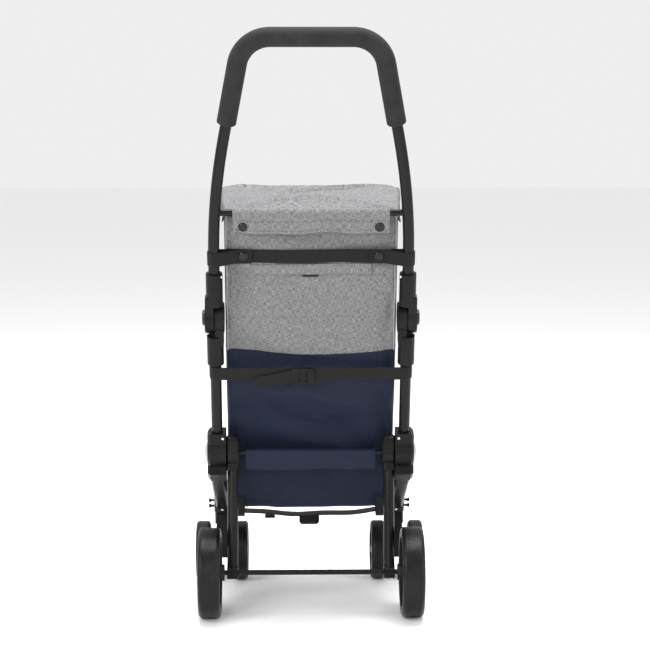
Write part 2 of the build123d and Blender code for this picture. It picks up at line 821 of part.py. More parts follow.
crossbar_radius = upper_crossbar_diameter / 2
crossbar_point = side_point(0, crossbar_distance)
with BuildPart() as upper_crossbar:
    with BuildSketch(Plane.YZ.offset(-frame_half_width)):
        with Locations(crossbar_point):
            Circle(crossbar_radius)
    extrude(amount=2 * frame_half_width)
    with BuildSketch(Plane(origin=loop.line @ 0, z_dir=loop.line % 0)):
        Circle(tube_radius)
    sweep(path=loop.line, mode=Mode.SUBTRACT)
keep(upper_crossbar, "upper_crossbar")


# ---------------------------------------------------------------- bag and lid
def frame_outline(points):
    """Adds a straight-sided outline through (forward, along) points to the open sketch."""
    with BuildSketch() as outline:
        with BuildLine():
            Polyline(*[side_point(forward, along) for forward, along in points], close=True)
        make_face()
    add(outline.sketch_local)


def bag_side(wall, top, floor_z):
    """Side outline of the lower bag, drawn in by a wall."""
    back = bag_lower_back + wall
    front = bag_front - wall
    return (
        (bag_back + wall, top),
        (bag_back + wall, bag_kink + bag_kink_rise - wall / 2),
        (back, bag_kink - wall / 2),
        (back, along_at_height(back, floor_z)),
        (front, along_at_height(front, floor_z)),
        (front, top),
    )


lower_top = hinge_distance - bag_split_gap / 2
with BuildPart() as bag_lower:
    with BuildSketch(Plane.YZ.offset(-bag_half_width)):
        frame_outline(bag_side(0, lower_top, bag_bottom_z))
    extrude(amount=2 * bag_half_width)
    fillet(bag_lower.edges().filter_by(Axis.X).sort_by(Axis.Z)[:2], bag_bottom_rounding)
    with BuildSketch(Plane.YZ.offset(-bag_half_width + bag_wall)):
        frame_outline(bag_side(bag_wall, lower_top + bag_wall, bag_bottom_z + bag_wall))
    extrude(amount=2 * (bag_half_width - bag_wall), mode=Mode.SUBTRACT)
keep(bag_lower, "bag_lower")

board_z = bag_bottom_z + bag_wall
room_back = bag_lower_back + bag_wall
room_front = bag_front - bag_wall
board_back = side_point(room_back, along_at_height(room_back, board_z))[0] + board_end_gap
board_front = side_point(room_front, along_at_height(room_front, board_z))[0] - board_end_gap
board_width = 2 * (bag_half_width - bag_wall - board_side_gap)
with BuildPart() as base_board:
    with BuildSketch(Plane.XY.offset(board_z)):
        with Locations((0, (board_back + board_front) / 2)):
            RectangleRounded(board_width, board_front - board_back, board_rounding)
    extrude(amount=board_thickness)
keep(base_board, "base_board")

upper_foot = hinge_distance + bag_split_gap / 2
with BuildPart() as bag_upper:
    with BuildSketch(Plane.YZ.offset(-bag_half_width)):
        frame_outline(
            (
                (bag_back, upper_foot),
                (bag_back, bag_top_back),
                (bag_front, bag_top_front),
                (bag_front, upper_foot),
            )
        )
    extrude(amount=2 * bag_half_width)
    with BuildSketch(Plane.YZ.offset(-bag_half_width + bag_wall)):
        frame_outline(
            (
                (bag_back + bag_wall, upper_foot - bag_wall),
                (bag_back + bag_wall, bag_top_back + bag_wall),
                (bag_front - bag_wall, bag_top_front + bag_wall),
                (bag_front - bag_wall, upper_foot - bag_wall),
            )
        )
    extrude(amount=2 * (bag_half_width - bag_wall), mode=Mode.SUBTRACT)
keep(bag_upper, "bag_upper")

lid_slope = (bag_top_front - bag_top_back) / (bag_front - bag_back)
lid_hinge_forward = bag_back + lid_gap
lid_front = bag_front + lid_gap + lid_thickness


def lid_line(forward, above):
    """A point above the bag's sloping top edge."""
    return (forward, bag_top_back + lid_slope * (forward - bag_back) + above)


with BuildPart() as bag_lid:
    with BuildSketch(Plane.YZ.offset(-lid_half_width)):
        frame_outline(
            (
                lid_line(lid_hinge_forward, lid_gap + lid_thickness),
                lid_line(lid_hinge_forward, -lid_skirt),
                lid_line(lid_front, -lid_skirt),
                lid_line(lid_front, lid_gap + lid_thickness),
            )
        )
    extrude(amount=2 * lid_half_width)
    with BuildSketch(Plane.YZ.offset(-bag_half_width - lid_gap)):
        frame_outline(
            (
                lid_line(lid_hinge_forward - bag_wall, lid_gap),
                lid_line(lid_hinge_forward - bag_wall, -2 * lid_skirt),
                lid_line(bag_front + lid_gap, -2 * lid_skirt),
                lid_line(bag_front + lid_gap, lid_gap),
            )
        )
    extrude(amount=2 * (bag_half_width + lid_gap), mode=Mode.SUBTRACT)
    with BuildSketch(Plane.YZ.offset(-lid_half_width)):
        frame_outline(
            (
                lid_line(bag_front + lid_gap, -lid_skirt),
                lid_line(bag_front + lid_gap, -lid_front_skirt),
                lid_line(lid_front, -lid_front_skirt),
                lid_line(lid_front, -lid_skirt),
            )
        )
    extrude(amount=2 * lid_half_width)
keep(bag_lid, "bag_lid")


# ---------------------------------------------------------------- flaps and webbing
def rod_flap(along, rod_radius, drop, half_width, bag_face, reach):
    """A fabric flap over a cross rod: sewn to the bag in front, hanging free behind."""
    inner = rod_radius + webbing_gap
    outer = inner + webbing
    with BuildPart() as flap:
        with BuildSketch(Plane.YZ.offset(-half_width)):
            with Locations(side_point(0, along)):
                Circle(outer)
            frame_outline(((-outer, along), (0, along), (0, along - drop), (-outer, along - drop)))
            frame_outline(
                (
                    (0, along),
                    (outer, along),
                    (bag_face - webbing_gap, along - reach),
                    (bag_face - webbing_gap, along - reach - flap_hem),
                    (0, along - reach - flap_hem),
                )
            )
            with Locations(side_point(0, along)):
                Circle(inner, mode=Mode.SUBTRACT)
            with BuildLine():
                Polyline(
                    side_point(-inner, along),
                    side_point(inner, along),
                    side_point(bag_face - webbing_gap - webbing, along - reach),
                    side_point(bag_face - webbing_gap - webbing, along - 2 * (drop + reach)),
                    side_point(-inner, along - 2 * (drop + reach)),
                    close=True,
                )
            make_face(mode=Mode.SUBTRACT)
        extrude(amount=2 * half_width)
    return flap


upper_flap = rod_flap(
    crossbar_distance, crossbar_radius, upper_flap_drop,
    upper_flap_half_width, bag_back, upper_flap_reach,
)
keep(upper_flap, "upper_flap")
lower_flap = rod_flap(
    0, pivot_rod_diameter / 2, lower_flap_drop,
    lower_flap_half_width, bag_lower_back, lower_flap_reach,
)
keep(lower_flap, "lower_flap")

strap_inner = tube_radius + webbing_gap
strap_outer = strap_inner + webbing


def webbing_plane(along):
    """Plane at the lower edge of a strap that crosses the frame at this height."""
    return frame_plane(0, 0, along - webbing_width / 2)


tab_face = bag_back - webbing_gap - webbing
with BuildPart() as upper_strap:
    with BuildSketch(webbing_plane(upper_strap_distance)):
        for _, side in sides:
            with Locations((side * frame_half_width, 0)):
                Circle(strap_outer)
            with BuildLine():
                Polyline(
                    (side * frame_half_width, -strap_outer),
                    (side * frame_half_width, -strap_outer + webbing),
                    (side * (snap_x + tab_bend), tab_face),
                    (side * (snap_x - tab_end_inset), tab_face),
                    (side * (snap_x - tab_end_inset), tab_face - webbing),
                    (side * (snap_x + tab_bend - webbing / 2), tab_face - webbing),
                    close=True,
                )
            make_face()
        with Locations((0, bag_back - webbing_gap - webbing / 2)):
            Rectangle(2 * (frame_half_width - strap_inner / 2), webbing)
        for _, side in sides:
            with Locations((side * frame_half_width, 0)):
                Circle(strap_inner, mode=Mode.SUBTRACT)
    extrude(amount=webbing_width)
keep(upper_strap, "upper_strap")

with BuildPart() as lower_strap:
    with BuildSketch(webbing_plane(lower_strap_distance)):
        for _, side in sides:
            with Locations((side * frame_half_width, 0)):
                Circle(strap_outer)
        with Locations((0, -strap_outer + webbing / 2)):
            Rectangle(2 * frame_half_width, webbing)
        for _, side in sides:
            with Locations((side * frame_half_width, 0)):
                Circle(strap_inner, mode=Mode.SUBTRACT)
    extrude(amount=webbing_width)
keep(lower_strap, "lower_strap")

flap_face = -(crossbar_radius + webbing_gap + webbing)
flap_snap_distance = crossbar_distance - upper_flap_drop + snap_above_hem
snap_seats = ((flap_face, flap_snap_distance), (tab_face - webbing, upper_strap_distance))
with BuildPart() as snap_buttons:
    for _, side in sides:
        for face, along in snap_seats:
            with BuildSketch(back_plane(side * snap_x, face, along)):
                Circle(snap_radius)
            extrude(amount=snap_height, taper=snap_taper)
keep(snap_buttons, "snap_buttons")

buckle_face = -strap_outer
with BuildPart() as ladder_buckle:
    with BuildSketch(back_plane(ladder_x, buckle_face, lower_strap_distance - ladder_drop)):
        RectangleRounded(ladder_width, ladder_height, ladder_rounding)
        with GridLocations(ladder_slot_spacing, 1, 2, 1):
            Rectangle(ladder_slot, ladder_height - 2 * ladder_bar, mode=Mode.SUBTRACT)
    extrude(amount=ladder_thickness)
keep(ladder_buckle, "ladder_buckle")

# Bottom strap: slung under the bag between the arms' tips.
strap_end_x = castor_half_spacing - boss_radius - strap_end_gap
with BuildPart() as bottom_strap:
    with BuildSketch(Plane.XZ.offset(-(stem_y - webbing_width / 2))):
        with BuildLine():
            top = ThreePointArc(
                (-strap_end_x, bottom_strap_z),
                (0, bottom_strap_z - bottom_strap_sag),
                (strap_end_x, bottom_strap_z),
            )
            Line(top @ 1, (strap_end_x, bottom_strap_z - webbing))
            under = ThreePointArc(
                (strap_end_x, bottom_strap_z - webbing),
                (0, bottom_strap_z - bottom_strap_sag - webbing),
                (-strap_end_x, bottom_strap_z - webbing),
            )
            Line(under @ 1, top @ 0)
        make_face()
    extrude(amount=-webbing_width)
keep(bottom_strap, "bottom_strap")


def strap_z(x):
    """Height of the bottom strap's underside at x, on its arc."""
    bend = (strap_end_x**2 + bottom_strap_sag**2) / (2 * bottom_strap_sag)
    return bottom_strap_z - webbing - bottom_strap_sag + bend - (bend**2 - x**2) ** 0.5


with BuildPart() as strap_slider:
    with BuildSketch(Plane.XY.offset(strap_z(abs(slider_x) - slider_length / 2) - fitting_gap)):
        with Locations((slider_x, stem_y)):
            RectangleRounded(slider_length, webbing_width + 2 * slider_overhang, slider_rounding)
    extrude(amount=-slider_thickness)
keep(strap_slider, "strap_slider")

with BuildPart() as side_release_buckle:
    with BuildSketch(Plane.XY.offset(strap_z(0) - fitting_gap)):
        with Locations((0, stem_y)):
            RectangleRounded(buckle_length, buckle_depth, buckle_rounding)
    extrude(amount=-buckle_drop)
    chamfer(side_release_buckle.faces().sort_by(Axis.Z)[0].edges(), buckle_chamfer)
keep(side_release_buckle, "side_release_buckle")

# ---------------------------------------------------------------- rivets
rivet_distance = casting_sleeve_height - rivet_drop
with BuildPart() as frame_rivets:
    for _, side in sides:
        with BuildSketch(
            back_plane(side * (casting_inner + rivet_inset), -sleeve_radius, rivet_distance)
        ):
            Circle(rivet_radius)
        extrude(amount=rivet_height, taper=rivet_taper)
keep(frame_rivets, "frame_rivets")
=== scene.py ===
import json
import math

import bpy
import numpy as np
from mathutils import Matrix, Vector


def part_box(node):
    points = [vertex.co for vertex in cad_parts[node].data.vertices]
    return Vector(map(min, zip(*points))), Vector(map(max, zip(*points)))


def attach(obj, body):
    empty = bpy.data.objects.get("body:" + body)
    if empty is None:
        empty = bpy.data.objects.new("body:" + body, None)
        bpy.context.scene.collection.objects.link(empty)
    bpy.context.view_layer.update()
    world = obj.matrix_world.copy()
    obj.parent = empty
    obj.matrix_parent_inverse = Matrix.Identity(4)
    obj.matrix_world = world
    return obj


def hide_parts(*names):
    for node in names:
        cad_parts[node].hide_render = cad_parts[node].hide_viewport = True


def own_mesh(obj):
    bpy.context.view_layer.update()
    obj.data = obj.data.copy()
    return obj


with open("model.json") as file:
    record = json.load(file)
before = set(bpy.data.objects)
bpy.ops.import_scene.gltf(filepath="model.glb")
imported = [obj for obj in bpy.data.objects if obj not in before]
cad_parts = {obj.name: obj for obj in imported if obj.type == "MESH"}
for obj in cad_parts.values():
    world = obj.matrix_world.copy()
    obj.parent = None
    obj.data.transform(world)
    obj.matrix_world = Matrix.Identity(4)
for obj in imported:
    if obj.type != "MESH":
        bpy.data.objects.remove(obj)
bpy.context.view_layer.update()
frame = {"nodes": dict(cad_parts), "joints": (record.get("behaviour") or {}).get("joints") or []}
scene = bpy.context.scene

# ------------------------------------------------------------------ studio
# A pale matt floor, a plain white room, soft lights from above and from both sides, a
# narrow light for streaks on the blacks, and a camera behind the trolley, above the bag.
camera_data = bpy.data.cameras.new("camera")
camera_data.lens = 106.1
camera_data.sensor_width = 36.0
camera = bpy.data.objects.new("camera", camera_data)
camera.location = (-0.0397, -3.504, 0.9825)
camera_pitch = math.radians(90 - 7.31)
camera_yaw = math.radians(-1.09)
camera.rotation_euler = (camera_pitch, 0, camera_yaw)
scene.collection.objects.link(camera)
bpy.context.scene.camera = camera

floor_size = 14.0
floor_mesh = bpy.data.meshes.new("floor")
floor_corners = [
    (-floor_size, -floor_size, 0), (floor_size, -floor_size, 0),
    (floor_size, floor_size, 0), (-floor_size, floor_size, 0),
]
floor_mesh.from_pydata(floor_corners, [], [(0, 1, 2, 3)])
floor = bpy.data.objects.new("floor", floor_mesh)
scene.collection.objects.link(floor)
floor_paint = bpy.data.materials.new("floor_paint")
floor_paint.use_nodes = True
floor_surface = floor_paint.node_tree.nodes["Principled BSDF"]
floor_surface.inputs["Base Color"].default_value = (0.94, 0.94, 0.94, 1)
floor_surface.inputs["Roughness"].default_value = 0.9
floor_mesh.materials.append(floor_paint)

room = bpy.data.worlds.new("room")
room.use_nodes = True
room_walls = room.node_tree.nodes["Background"]
room_walls.inputs["Color"].default_value = (1, 1, 1, 1)
room_walls.inputs["Strength"].default_value = 0.86
scene.world = room
scene.view_settings.view_transform = "Standard"


def soft_light(name, place, aim, size, watts):
    """A square area light at a place, turned to face a point."""
    data = bpy.data.lights.new(name, "AREA")
    data.size = size
    data.energy = watts
    lamp = bpy.data.objects.new(name, data)
    away = np.subtract(place, aim)
    lamp.location = place
    lamp.rotation_euler = (
        math.atan2(math.hypot(away[0], away[1]), away[2]),
        0,
        math.atan2(away[1], away[0]) + math.pi / 2,
    )
    scene.collection.objects.link(lamp)


soft_light("key", (-2.2, -2.4, 2.6), (0, 0, 0.5), 1.4, 50)
soft_light("fill", (2.6, -2.2, 1.6), (0, 0, 0.5), 1.4, 26)
soft_light("top", (0.1, 0.1, 3.0), (0, 0, 0.5), 1.6, 100)
soft_light("left strip", (-1.3, -2.9, 1.3), (0, 0, 0.5), 0.35, 26)

# ------------------------------------------------------------------ black steel tubes
# Powder-coated steel: side tubes, handle loop, rear legs and the two cross rods. The
# coat is satin black with a faint orange peel and slightly duller rubbed patches.
surface_grain = bpy.data.node_groups.new("surface_grain", "ShaderNodeTree")
for socket_name, socket_kind, start in (
    ("Colour", "NodeSocketColor", (0.03, 0.03, 0.03, 1)),
    ("Rubbed", "NodeSocketColor", (0.05, 0.05, 0.05, 1)),
    ("Grain size", "NodeSocketFloat", 900.0),
    ("Patch size", "NodeSocketFloat", 9.0),
    ("Roughness", "NodeSocketFloat", 0.4),
    ("Roughness spread", "NodeSocketFloat", 0.12),
):
    socket = surface_grain.interface.new_socket(
        name=socket_name, in_out="INPUT", socket_type=socket_kind
    )
    socket.default_value = start
for socket_name, socket_kind in (
    ("Colour", "NodeSocketColor"),
    ("Roughness", "NodeSocketFloat"),
    ("Height", "NodeSocketFloat"),
):
    surface_grain.interface.new_socket(
        name=socket_name, in_out="OUTPUT", socket_type=socket_kind
    )
grain_nodes, grain_links = surface_grain.nodes, surface_grain.links
grain_in = grain_nodes.new("NodeGroupInput")
grain_out = grain_nodes.new("NodeGroupOutput")
grain_place = grain_nodes.new("ShaderNodeTexCoord")
fine = grain_nodes.new("ShaderNodeTexNoise")
fine.inputs["Detail"].default_value = 3.0
patch = grain_nodes.new("ShaderNodeTexNoise")
patch.inputs["Detail"].default_value = 5.0
patch_range = grain_nodes.new("ShaderNodeMapRange")
patch_range.inputs["From Min"].default_value = 0.38
patch_range.inputs["From Max"].default_value = 0.72
blend_colour = grain_nodes.new("ShaderNodeMix")
blend_colour.data_type = "RGBA"
spread = grain_nodes.new("ShaderNodeMath")
spread.operation = "MULTIPLY_ADD"
grain_links.new(grain_place.outputs["Object"], fine.inputs["Vector"])
grain_links.new(grain_place.outputs["Object"], patch.inputs["Vector"])
grain_links.new(grain_in.outputs["Grain size"], fine.inputs["Scale"])
grain_links.new(grain_in.outputs["Patch size"], patch.inputs["Scale"])
grain_links.new(patch.outputs["Fac"], patch_range.inputs["Value"])
grain_links.new(patch_range.outputs["Result"], blend_colour.inputs["Factor"])
grain_links.new(grain_in.outputs["Colour"], blend_colour.inputs[6])
grain_links.new(grain_in.outputs["Rubbed"], blend_colour.inputs[7])
grain_links.new(blend_colour.outputs[2], grain_out.inputs["Colour"])
grain_links.new(patch_range.outputs["Result"], spread.inputs[0])
grain_links.new(grain_in.outputs["Roughness spread"], spread.inputs[1])
grain_links.new(grain_in.outputs["Roughness"], spread.inputs[2])
grain_links.new(spread.outputs["Value"], grain_out.inputs["Roughness"])
grain_links.new(fine.outputs["Fac"], grain_out.inputs["Height"])


def hard_finish(name, colour, rubbed, roughness, spread, grain, patches, depth, **shader):
    """A moulded, painted or plated finish: grain as bump, rubbed patches as colour."""
    material = bpy.data.materials.new(name)
    material.use_nodes = True
    nodes, links = material.node_tree.nodes, material.node_tree.links
    bsdf = nodes["Principled BSDF"]
    surface = nodes.new("ShaderNodeGroup")
    surface.node_tree = surface_grain
    surface.inputs["Colour"].default_value = (*colour, 1)
    surface.inputs["Rubbed"].default_value = (*rubbed, 1)
    surface.inputs["Roughness"].default_value = roughness
    surface.inputs["Roughness spread"].default_value = spread
    surface.inputs["Grain size"].default_value = grain
    surface.inputs["Patch size"].default_value = patches
    bump = nodes.new("ShaderNodeBump")
    bump.inputs["Distance"].default_value = depth
    bump.inputs["Strength"].default_value = 1.0
    links.new(surface.outputs["Colour"], bsdf.inputs["Base Color"])
    links.new(surface.outputs["Roughness"], bsdf.inputs["Roughness"])
    links.new(surface.outputs["Height"], bump.inputs["Height"])
    links.new(bump.outputs["Normal"], bsdf.inputs["Normal"])
    for socket_name, value in shader.items():
        bsdf.inputs[socket_name.replace("_", " ")].default_value = value
    return material


def finish_nodes(material, *names):
    """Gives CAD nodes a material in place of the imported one."""
    for node_name in names:
        slots = frame["nodes"][node_name].data.materials
        for index in range(len(slots)):
            slots[index] = material
        if not len(slots):
            slots.append(material)


black_coat = hard_finish(
    "black_coat", (0.0032, 0.0032, 0.0035), (0.0068, 0.0068, 0.0073), 0.26, 0.14, 700, 14, 0.00006,
    Specular_IOR_Level=0.18, Coat_Weight=0.05, Coat_Roughness=0.15,
)
finish_nodes(
    black_coat, "main_tubes", "handle_tube", "rear_leg_left", "rear_leg_right",
    "upper_crossbar", "lower_crossbar",
)

# ------------------------------------------------------------------ black mouldings
# Glass-filled nylon with a fine spark-eroded grain: hinge shells, side castings, front
# arms, leg sockets and feet, castor bodies, wheel centres, pegs and axle caps.
black_nylon = hard_finish(
    "black_nylon", (0.0036, 0.0036, 0.0039), (0.0085, 0.0085, 0.009), 0.3, 0.16, 1500, 22, 0.00012,
    Specular_IOR_Level=0.15,
)
finish_nodes(
    black_nylon, "hinge_lower_left", "hinge_lower_right", "hinge_upper_left",
    "hinge_upper_right", "knuckle_left", "knuckle_right", "front_arm_left",
    "front_arm_right", "castor_bushes", "strap_pegs", "leg_socket_left",
    "leg_socket_right", "leg_foot_left", "leg_foot_right", "axle_caps",
    "castor_body_left", "castor_body_right", "ladder_buckle", "strap_slider",
    "side_release_buckle",
)
wheel_grey = hard_finish(
    "wheel_grey", (0.010, 0.010, 0.0106), (0.019, 0.019, 0.02), 0.36, 0.14, 1300, 18, 0.0001,
    Specular_IOR_Level=0.3,
)
rim_names = [name for name in frame["nodes"] if "_rim_" in name]
finish_nodes(wheel_grey, *rim_names)

# ------------------------------------------------------------------ small hard parts
# Satin push buttons, pale domed discs on the castings, zinc-plated axles, pins and
# springs, and the small bright rivet heads.
button_satin = hard_finish(
    "button_satin", (0.008, 0.008, 0.0086), (0.015, 0.015, 0.016), 0.28, 0.1, 1700, 30, 0.00006,
    Specular_IOR_Level=0.4,
)
finish_nodes(button_satin, "push_button_left", "push_button_right")
pale_disc = hard_finish(
    "pale_disc", (0.36, 0.37, 0.38), (0.46, 0.47, 0.48), 0.24, 0.08, 600, 40, 0.00004,
    Metallic=0.5, Coat_Weight=0.3, Coat_Roughness=0.12,
)
finish_nodes(pale_disc, "knuckle_discs")
zinc_plate = hard_finish(
    "zinc_plate", (0.36, 0.36, 0.37), (0.5, 0.5, 0.52), 0.3, 0.15, 500, 60, 0.00005, Metallic=1.0
)
black_plate = hard_finish(
    "black_plate", (0.003, 0.003, 0.0033), (0.007, 0.007, 0.0075), 0.26, 0.15, 500, 50, 0.00005,
    Specular_IOR_Level=0.2,
)
finish_nodes(
    zinc_plate, "hinge_pins", "castor_axle_left", "castor_axle_right",
    "button_spring_left", "button_spring_right",
)
finish_nodes(black_plate, "rear_axle")
for side_name in ("left", "right"):
    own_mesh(frame["nodes"][f"button_spring_{side_name}"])
bright_head = hard_finish(
    "bright_head", (0.72, 0.72, 0.73), (0.84, 0.84, 0.85), 0.18, 0.12, 900, 80, 0.00003,
    Metallic=1.0,
)
finish_nodes(bright_head, "frame_rivets")

# ------------------------------------------------------------------ tyres
# Soft moulded tyres with fine grooves round the tread, dusty black and almost matt.
tyre_rubber = hard_finish(
    "tyre_rubber", (0.0055, 0.0055, 0.0057), (0.013, 0.0127, 0.0123), 0.3, 0.2, 900, 26, 0.00015,
    Specular_IOR_Level=0.2,
)
tyre_names = [name for name in frame["nodes"] if "_tyre_" in name]
finish_nodes(tyre_rubber, *tyre_names)

# ------------------------------------------------------------------ foam grip
# Closed-cell foam sleeve over the top of the handle loop: dark grey, matt and pitted.
grip_foam = hard_finish(
    "grip_foam", (0.013, 0.013, 0.0134), (0.023, 0.023, 0.0235), 0.75, 0.12, 1100, 30, 0.0005,
    Specular_IOR_Level=0.2, Sheen_Weight=0.04,
)
finish_nodes(grip_foam, "handle_grip")

# ------------------------------------------------------------------ bag cloth
# Polyester canvas, plain weave: grey melange above the seam, navy below. Slubs run
# both ways; threads are about 0.8 mm apart.
cloth_weave = bpy.data.node_groups.new("cloth_weave", "ShaderNodeTree")
for socket_name, socket_kind, start in (
    ("Dark thread", "NodeSocketColor", (0.1, 0.1, 0.1, 1)),
    ("Light thread", "NodeSocketColor", (0.3, 0.3, 0.3, 1)),
    ("Threads per metre", "NodeSocketFloat", 1200.0),
    ("Slub contrast", "NodeSocketFloat", 1.0),
):
    socket = cloth_weave.interface.new_socket(
        name=socket_name, in_out="INPUT", socket_type=socket_kind
    )
    socket.default_value = start
for socket_name, socket_kind in (("Colour", "NodeSocketColor"), ("Height", "NodeSocketFloat")):
    cloth_weave.interface.new_socket(
        name=socket_name, in_out="OUTPUT", socket_type=socket_kind
    )
weave_nodes, weave_links = cloth_weave.nodes, cloth_weave.links
weave_in = weave_nodes.new("NodeGroupInput")
weave_out = weave_nodes.new("NodeGroupOutput")
weave_uv = weave_nodes.new("ShaderNodeUVMap")
weave_uv.uv_map = "cloth"
weave_split = weave_nodes.new("ShaderNodeSeparateXYZ")
weave_links.new(weave_uv.outputs["UV"], weave_split.inputs["Vector"])


def weave_math(operation, first, second):
    """A maths node in the weave group; each input is a number or another socket."""
    node = weave_nodes.new("ShaderNodeMath")
    node.operation = operation
    for index, value in enumerate((first, second)):
        if isinstance(value, (int, float)):
            node.inputs[index].default_value = value
        elif value is not None:
            weave_links.new(value, node.inputs[index])
    return node.outputs["Value"]


thread_angle = weave_math("MULTIPLY", weave_in.outputs["Threads per metre"], math.pi)
warp = weave_math("SINE", weave_math("MULTIPLY", weave_split.outputs["X"], thread_angle), None)
weft = weave_math("SINE", weave_math("MULTIPLY", weave_split.outputs["Y"], thread_angle), None)
thread_height = weave_math("MULTIPLY_ADD", weave_math("MULTIPLY", warp, weft), 0.5)
thread_height.node.inputs[2].default_value = 0.5
slubs = []
for stretch in ((130.0, 1500.0, 0.0), (1700.0, 110.0, 0.0)):
    scaled = weave_nodes.new("ShaderNodeMapping")
    scaled.inputs["Scale"].default_value = stretch
    threads = weave_nodes.new("ShaderNodeTexNoise")
    threads.inputs["Scale"].default_value = 1.0
    threads.inputs["Detail"].default_value = 2.0
    weave_links.new(weave_uv.outputs["UV"], scaled.inputs["Vector"])
    weave_links.new(scaled.outputs["Vector"], threads.inputs["Vector"])
    slubs.append(threads.outputs["Fac"])
slub_mean = weave_math("ADD", slubs[0], slubs[1])
slub_off = weave_math("SUBTRACT", slub_mean, 1.0)
slub_spread = weave_math("MULTIPLY", slub_off, weave_in.outputs["Slub contrast"])
slub_mix = weave_math("ADD", slub_spread, 0.5)
thread_colour = weave_nodes.new("ShaderNodeMix")
thread_colour.data_type = "RGBA"
weave_links.new(slub_mix, thread_colour.inputs["Factor"])
weave_links.new(weave_in.outputs["Dark thread"], thread_colour.inputs[6])
weave_links.new(weave_in.outputs["Light thread"], thread_colour.inputs[7])
weave_links.new(thread_colour.outputs[2], weave_out.inputs["Colour"])
weave_links.new(
    weave_math("ADD", thread_height, weave_math("MULTIPLY", slub_mean, 0.8)),
    weave_out.inputs["Height"],
)


def cloth_finish(name, dark, light, threads, contrast, roughness, depth, sheen):
    """A woven finish on a piece's own cloth map, whose units are metres."""
    material = bpy.data.materials.new(name)
    material.use_nodes = True
    nodes, links = material.node_tree.nodes, material.node_tree.links
    bsdf = nodes["Principled BSDF"]
    weave = nodes.new("ShaderNodeGroup")
    weave.node_tree = cloth_weave
    weave.inputs["Dark thread"].default_value = (*dark, 1)
    weave.inputs["Light thread"].default_value = (*light, 1)
    weave.inputs["Threads per metre"].default_value = threads
    weave.inputs["Slub contrast"].default_value = contrast
    bump = nodes.new("ShaderNodeBump")
    bump.inputs["Distance"].default_value = depth
    links.new(weave.outputs["Colour"], bsdf.inputs["Base Color"])
    links.new(weave.outputs["Height"], bump.inputs["Height"])
    links.new(bump.outputs["Normal"], bsdf.inputs["Normal"])
    bsdf.inputs["Roughness"].default_value = roughness
    bsdf.inputs["Sheen Weight"].default_value = sheen
    bsdf.inputs["Sheen Roughness"].default_value = 0.5
    bsdf.inputs["Specular IOR Level"].default_value = 0.2
    return material


grey_canvas = cloth_finish(
    "grey_canvas", (0.052, 0.0525, 0.054), (0.265, 0.267, 0.271), 1200, 2.1, 0.85, 0.0002, 0.06
)
navy_canvas = cloth_finish(
    "navy_canvas", (0.0024, 0.0042, 0.0135), (0.0095, 0.0145, 0.039), 1200, 1.4, 0.55, 0.0002, 0.03
)
pale_piping = cloth_finish(
    "pale_piping", (0.2, 0.2, 0.205), (0.36, 0.36, 0.365), 1500, 1.0, 0.8, 0.0001, 0.08
)

# ------------------------------------------------------------------ base board
# A stiff board covered in navy canvas, lying loose on the bag's floor to keep it square.
# On the real trolley it flattens with the lower half of the bag when the handle folds; the fold anchor
# and share worked out below are not used here.
#
# The frame leans back. A place is given across (x), ahead of the plane of the side
# tubes, and along that plane from the leg pivot, all in metres.
joints = {joint["name"]: joint for joint in frame["joints"]}
pivot_at = np.array(joints["leg_fold"]["pos_m"])
hinge_at = np.array(joints["handle_fold"]["pos_m"])
lean = math.radians(17.0)
along_way = np.array([0, -math.sin(lean), math.cos(lean)])
ahead_way = np.array([0, math.cos(lean), math.sin(lean)])
hinge_along = float((hinge_at - pivot_at) @ along_way)


def frame_place(x, ahead, along):
    """Points from their distances across, ahead and along, which may be arrays."""
    x, ahead, along = np.broadcast_arrays(x, ahead, along)
    x, ahead, along = (np.asarray(part, float)[..., None] for part in (x, ahead, along))
    return pivot_at * [0, 1, 1] + x * [1.0, 0, 0] + ahead * ahead_way + along * along_way


def new_piece(name, mesh, body, material):
    """Puts a finished mesh in the scene, on its body, with its material and slot."""
    piece = bpy.data.objects.new(name, mesh)
    scene.collection.objects.link(piece)
    mesh.materials.append(material)
    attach(piece, body)
    return piece


def grid_mesh(name, places, uv, wrap=False):
    """A smooth mesh through a grid of places (rows, columns, 3).

    Each grid square is one face; wrap joins the last column to the first, and uv then
    has one more column than places.
    """
    rows, columns = places.shape[:2]
    row = np.arange(rows - 1)[:, None]
    column = np.arange(columns if wrap else columns - 1)[None, :]
    next_row, next_column = row + 1, (column + 1) % columns
    faces = np.stack(
        [
            row * columns + column,
            row * columns + next_column,
            next_row * columns + next_column,
            next_row * columns + column,
        ],
        axis=-1,
    ).reshape(-1, 4)
    mesh = bpy.data.meshes.new(name)
    mesh.from_pydata(places.reshape(-1, 3).tolist(), [], faces.tolist())
    corner_uv = np.stack(
        [uv[row, column], uv[row, column + 1], uv[row + 1, column + 1], uv[row + 1, column]],
        axis=2,
    )
    layer = mesh.uv_layers.new(name="cloth")
    layer.data.foreach_set("uv", np.ascontiguousarray(corner_uv, float).ravel())
    mesh.polygons.foreach_set("use_smooth", np.ones(len(faces), bool))
    mesh.update()
    return mesh


board_low, board_high = (np.array(corner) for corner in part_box("base_board"))
board_turn = np.linspace(0, 2 * math.pi, 96, endpoint=False)
board_middle, board_half = (board_low + board_high) / 2, (board_high - board_low) / 2
board_squareness = 0.16
# a rounded rectangle: the cosine and sine of a turn, each raised to a small power
board_round = np.stack(
    [
        np.sign(np.cos(board_turn)) * abs(np.cos(board_turn)) ** board_squareness,
        np.sign(np.sin(board_turn)) * abs(np.sin(board_turn)) ** board_squareness,
    ],
    axis=-1,
)
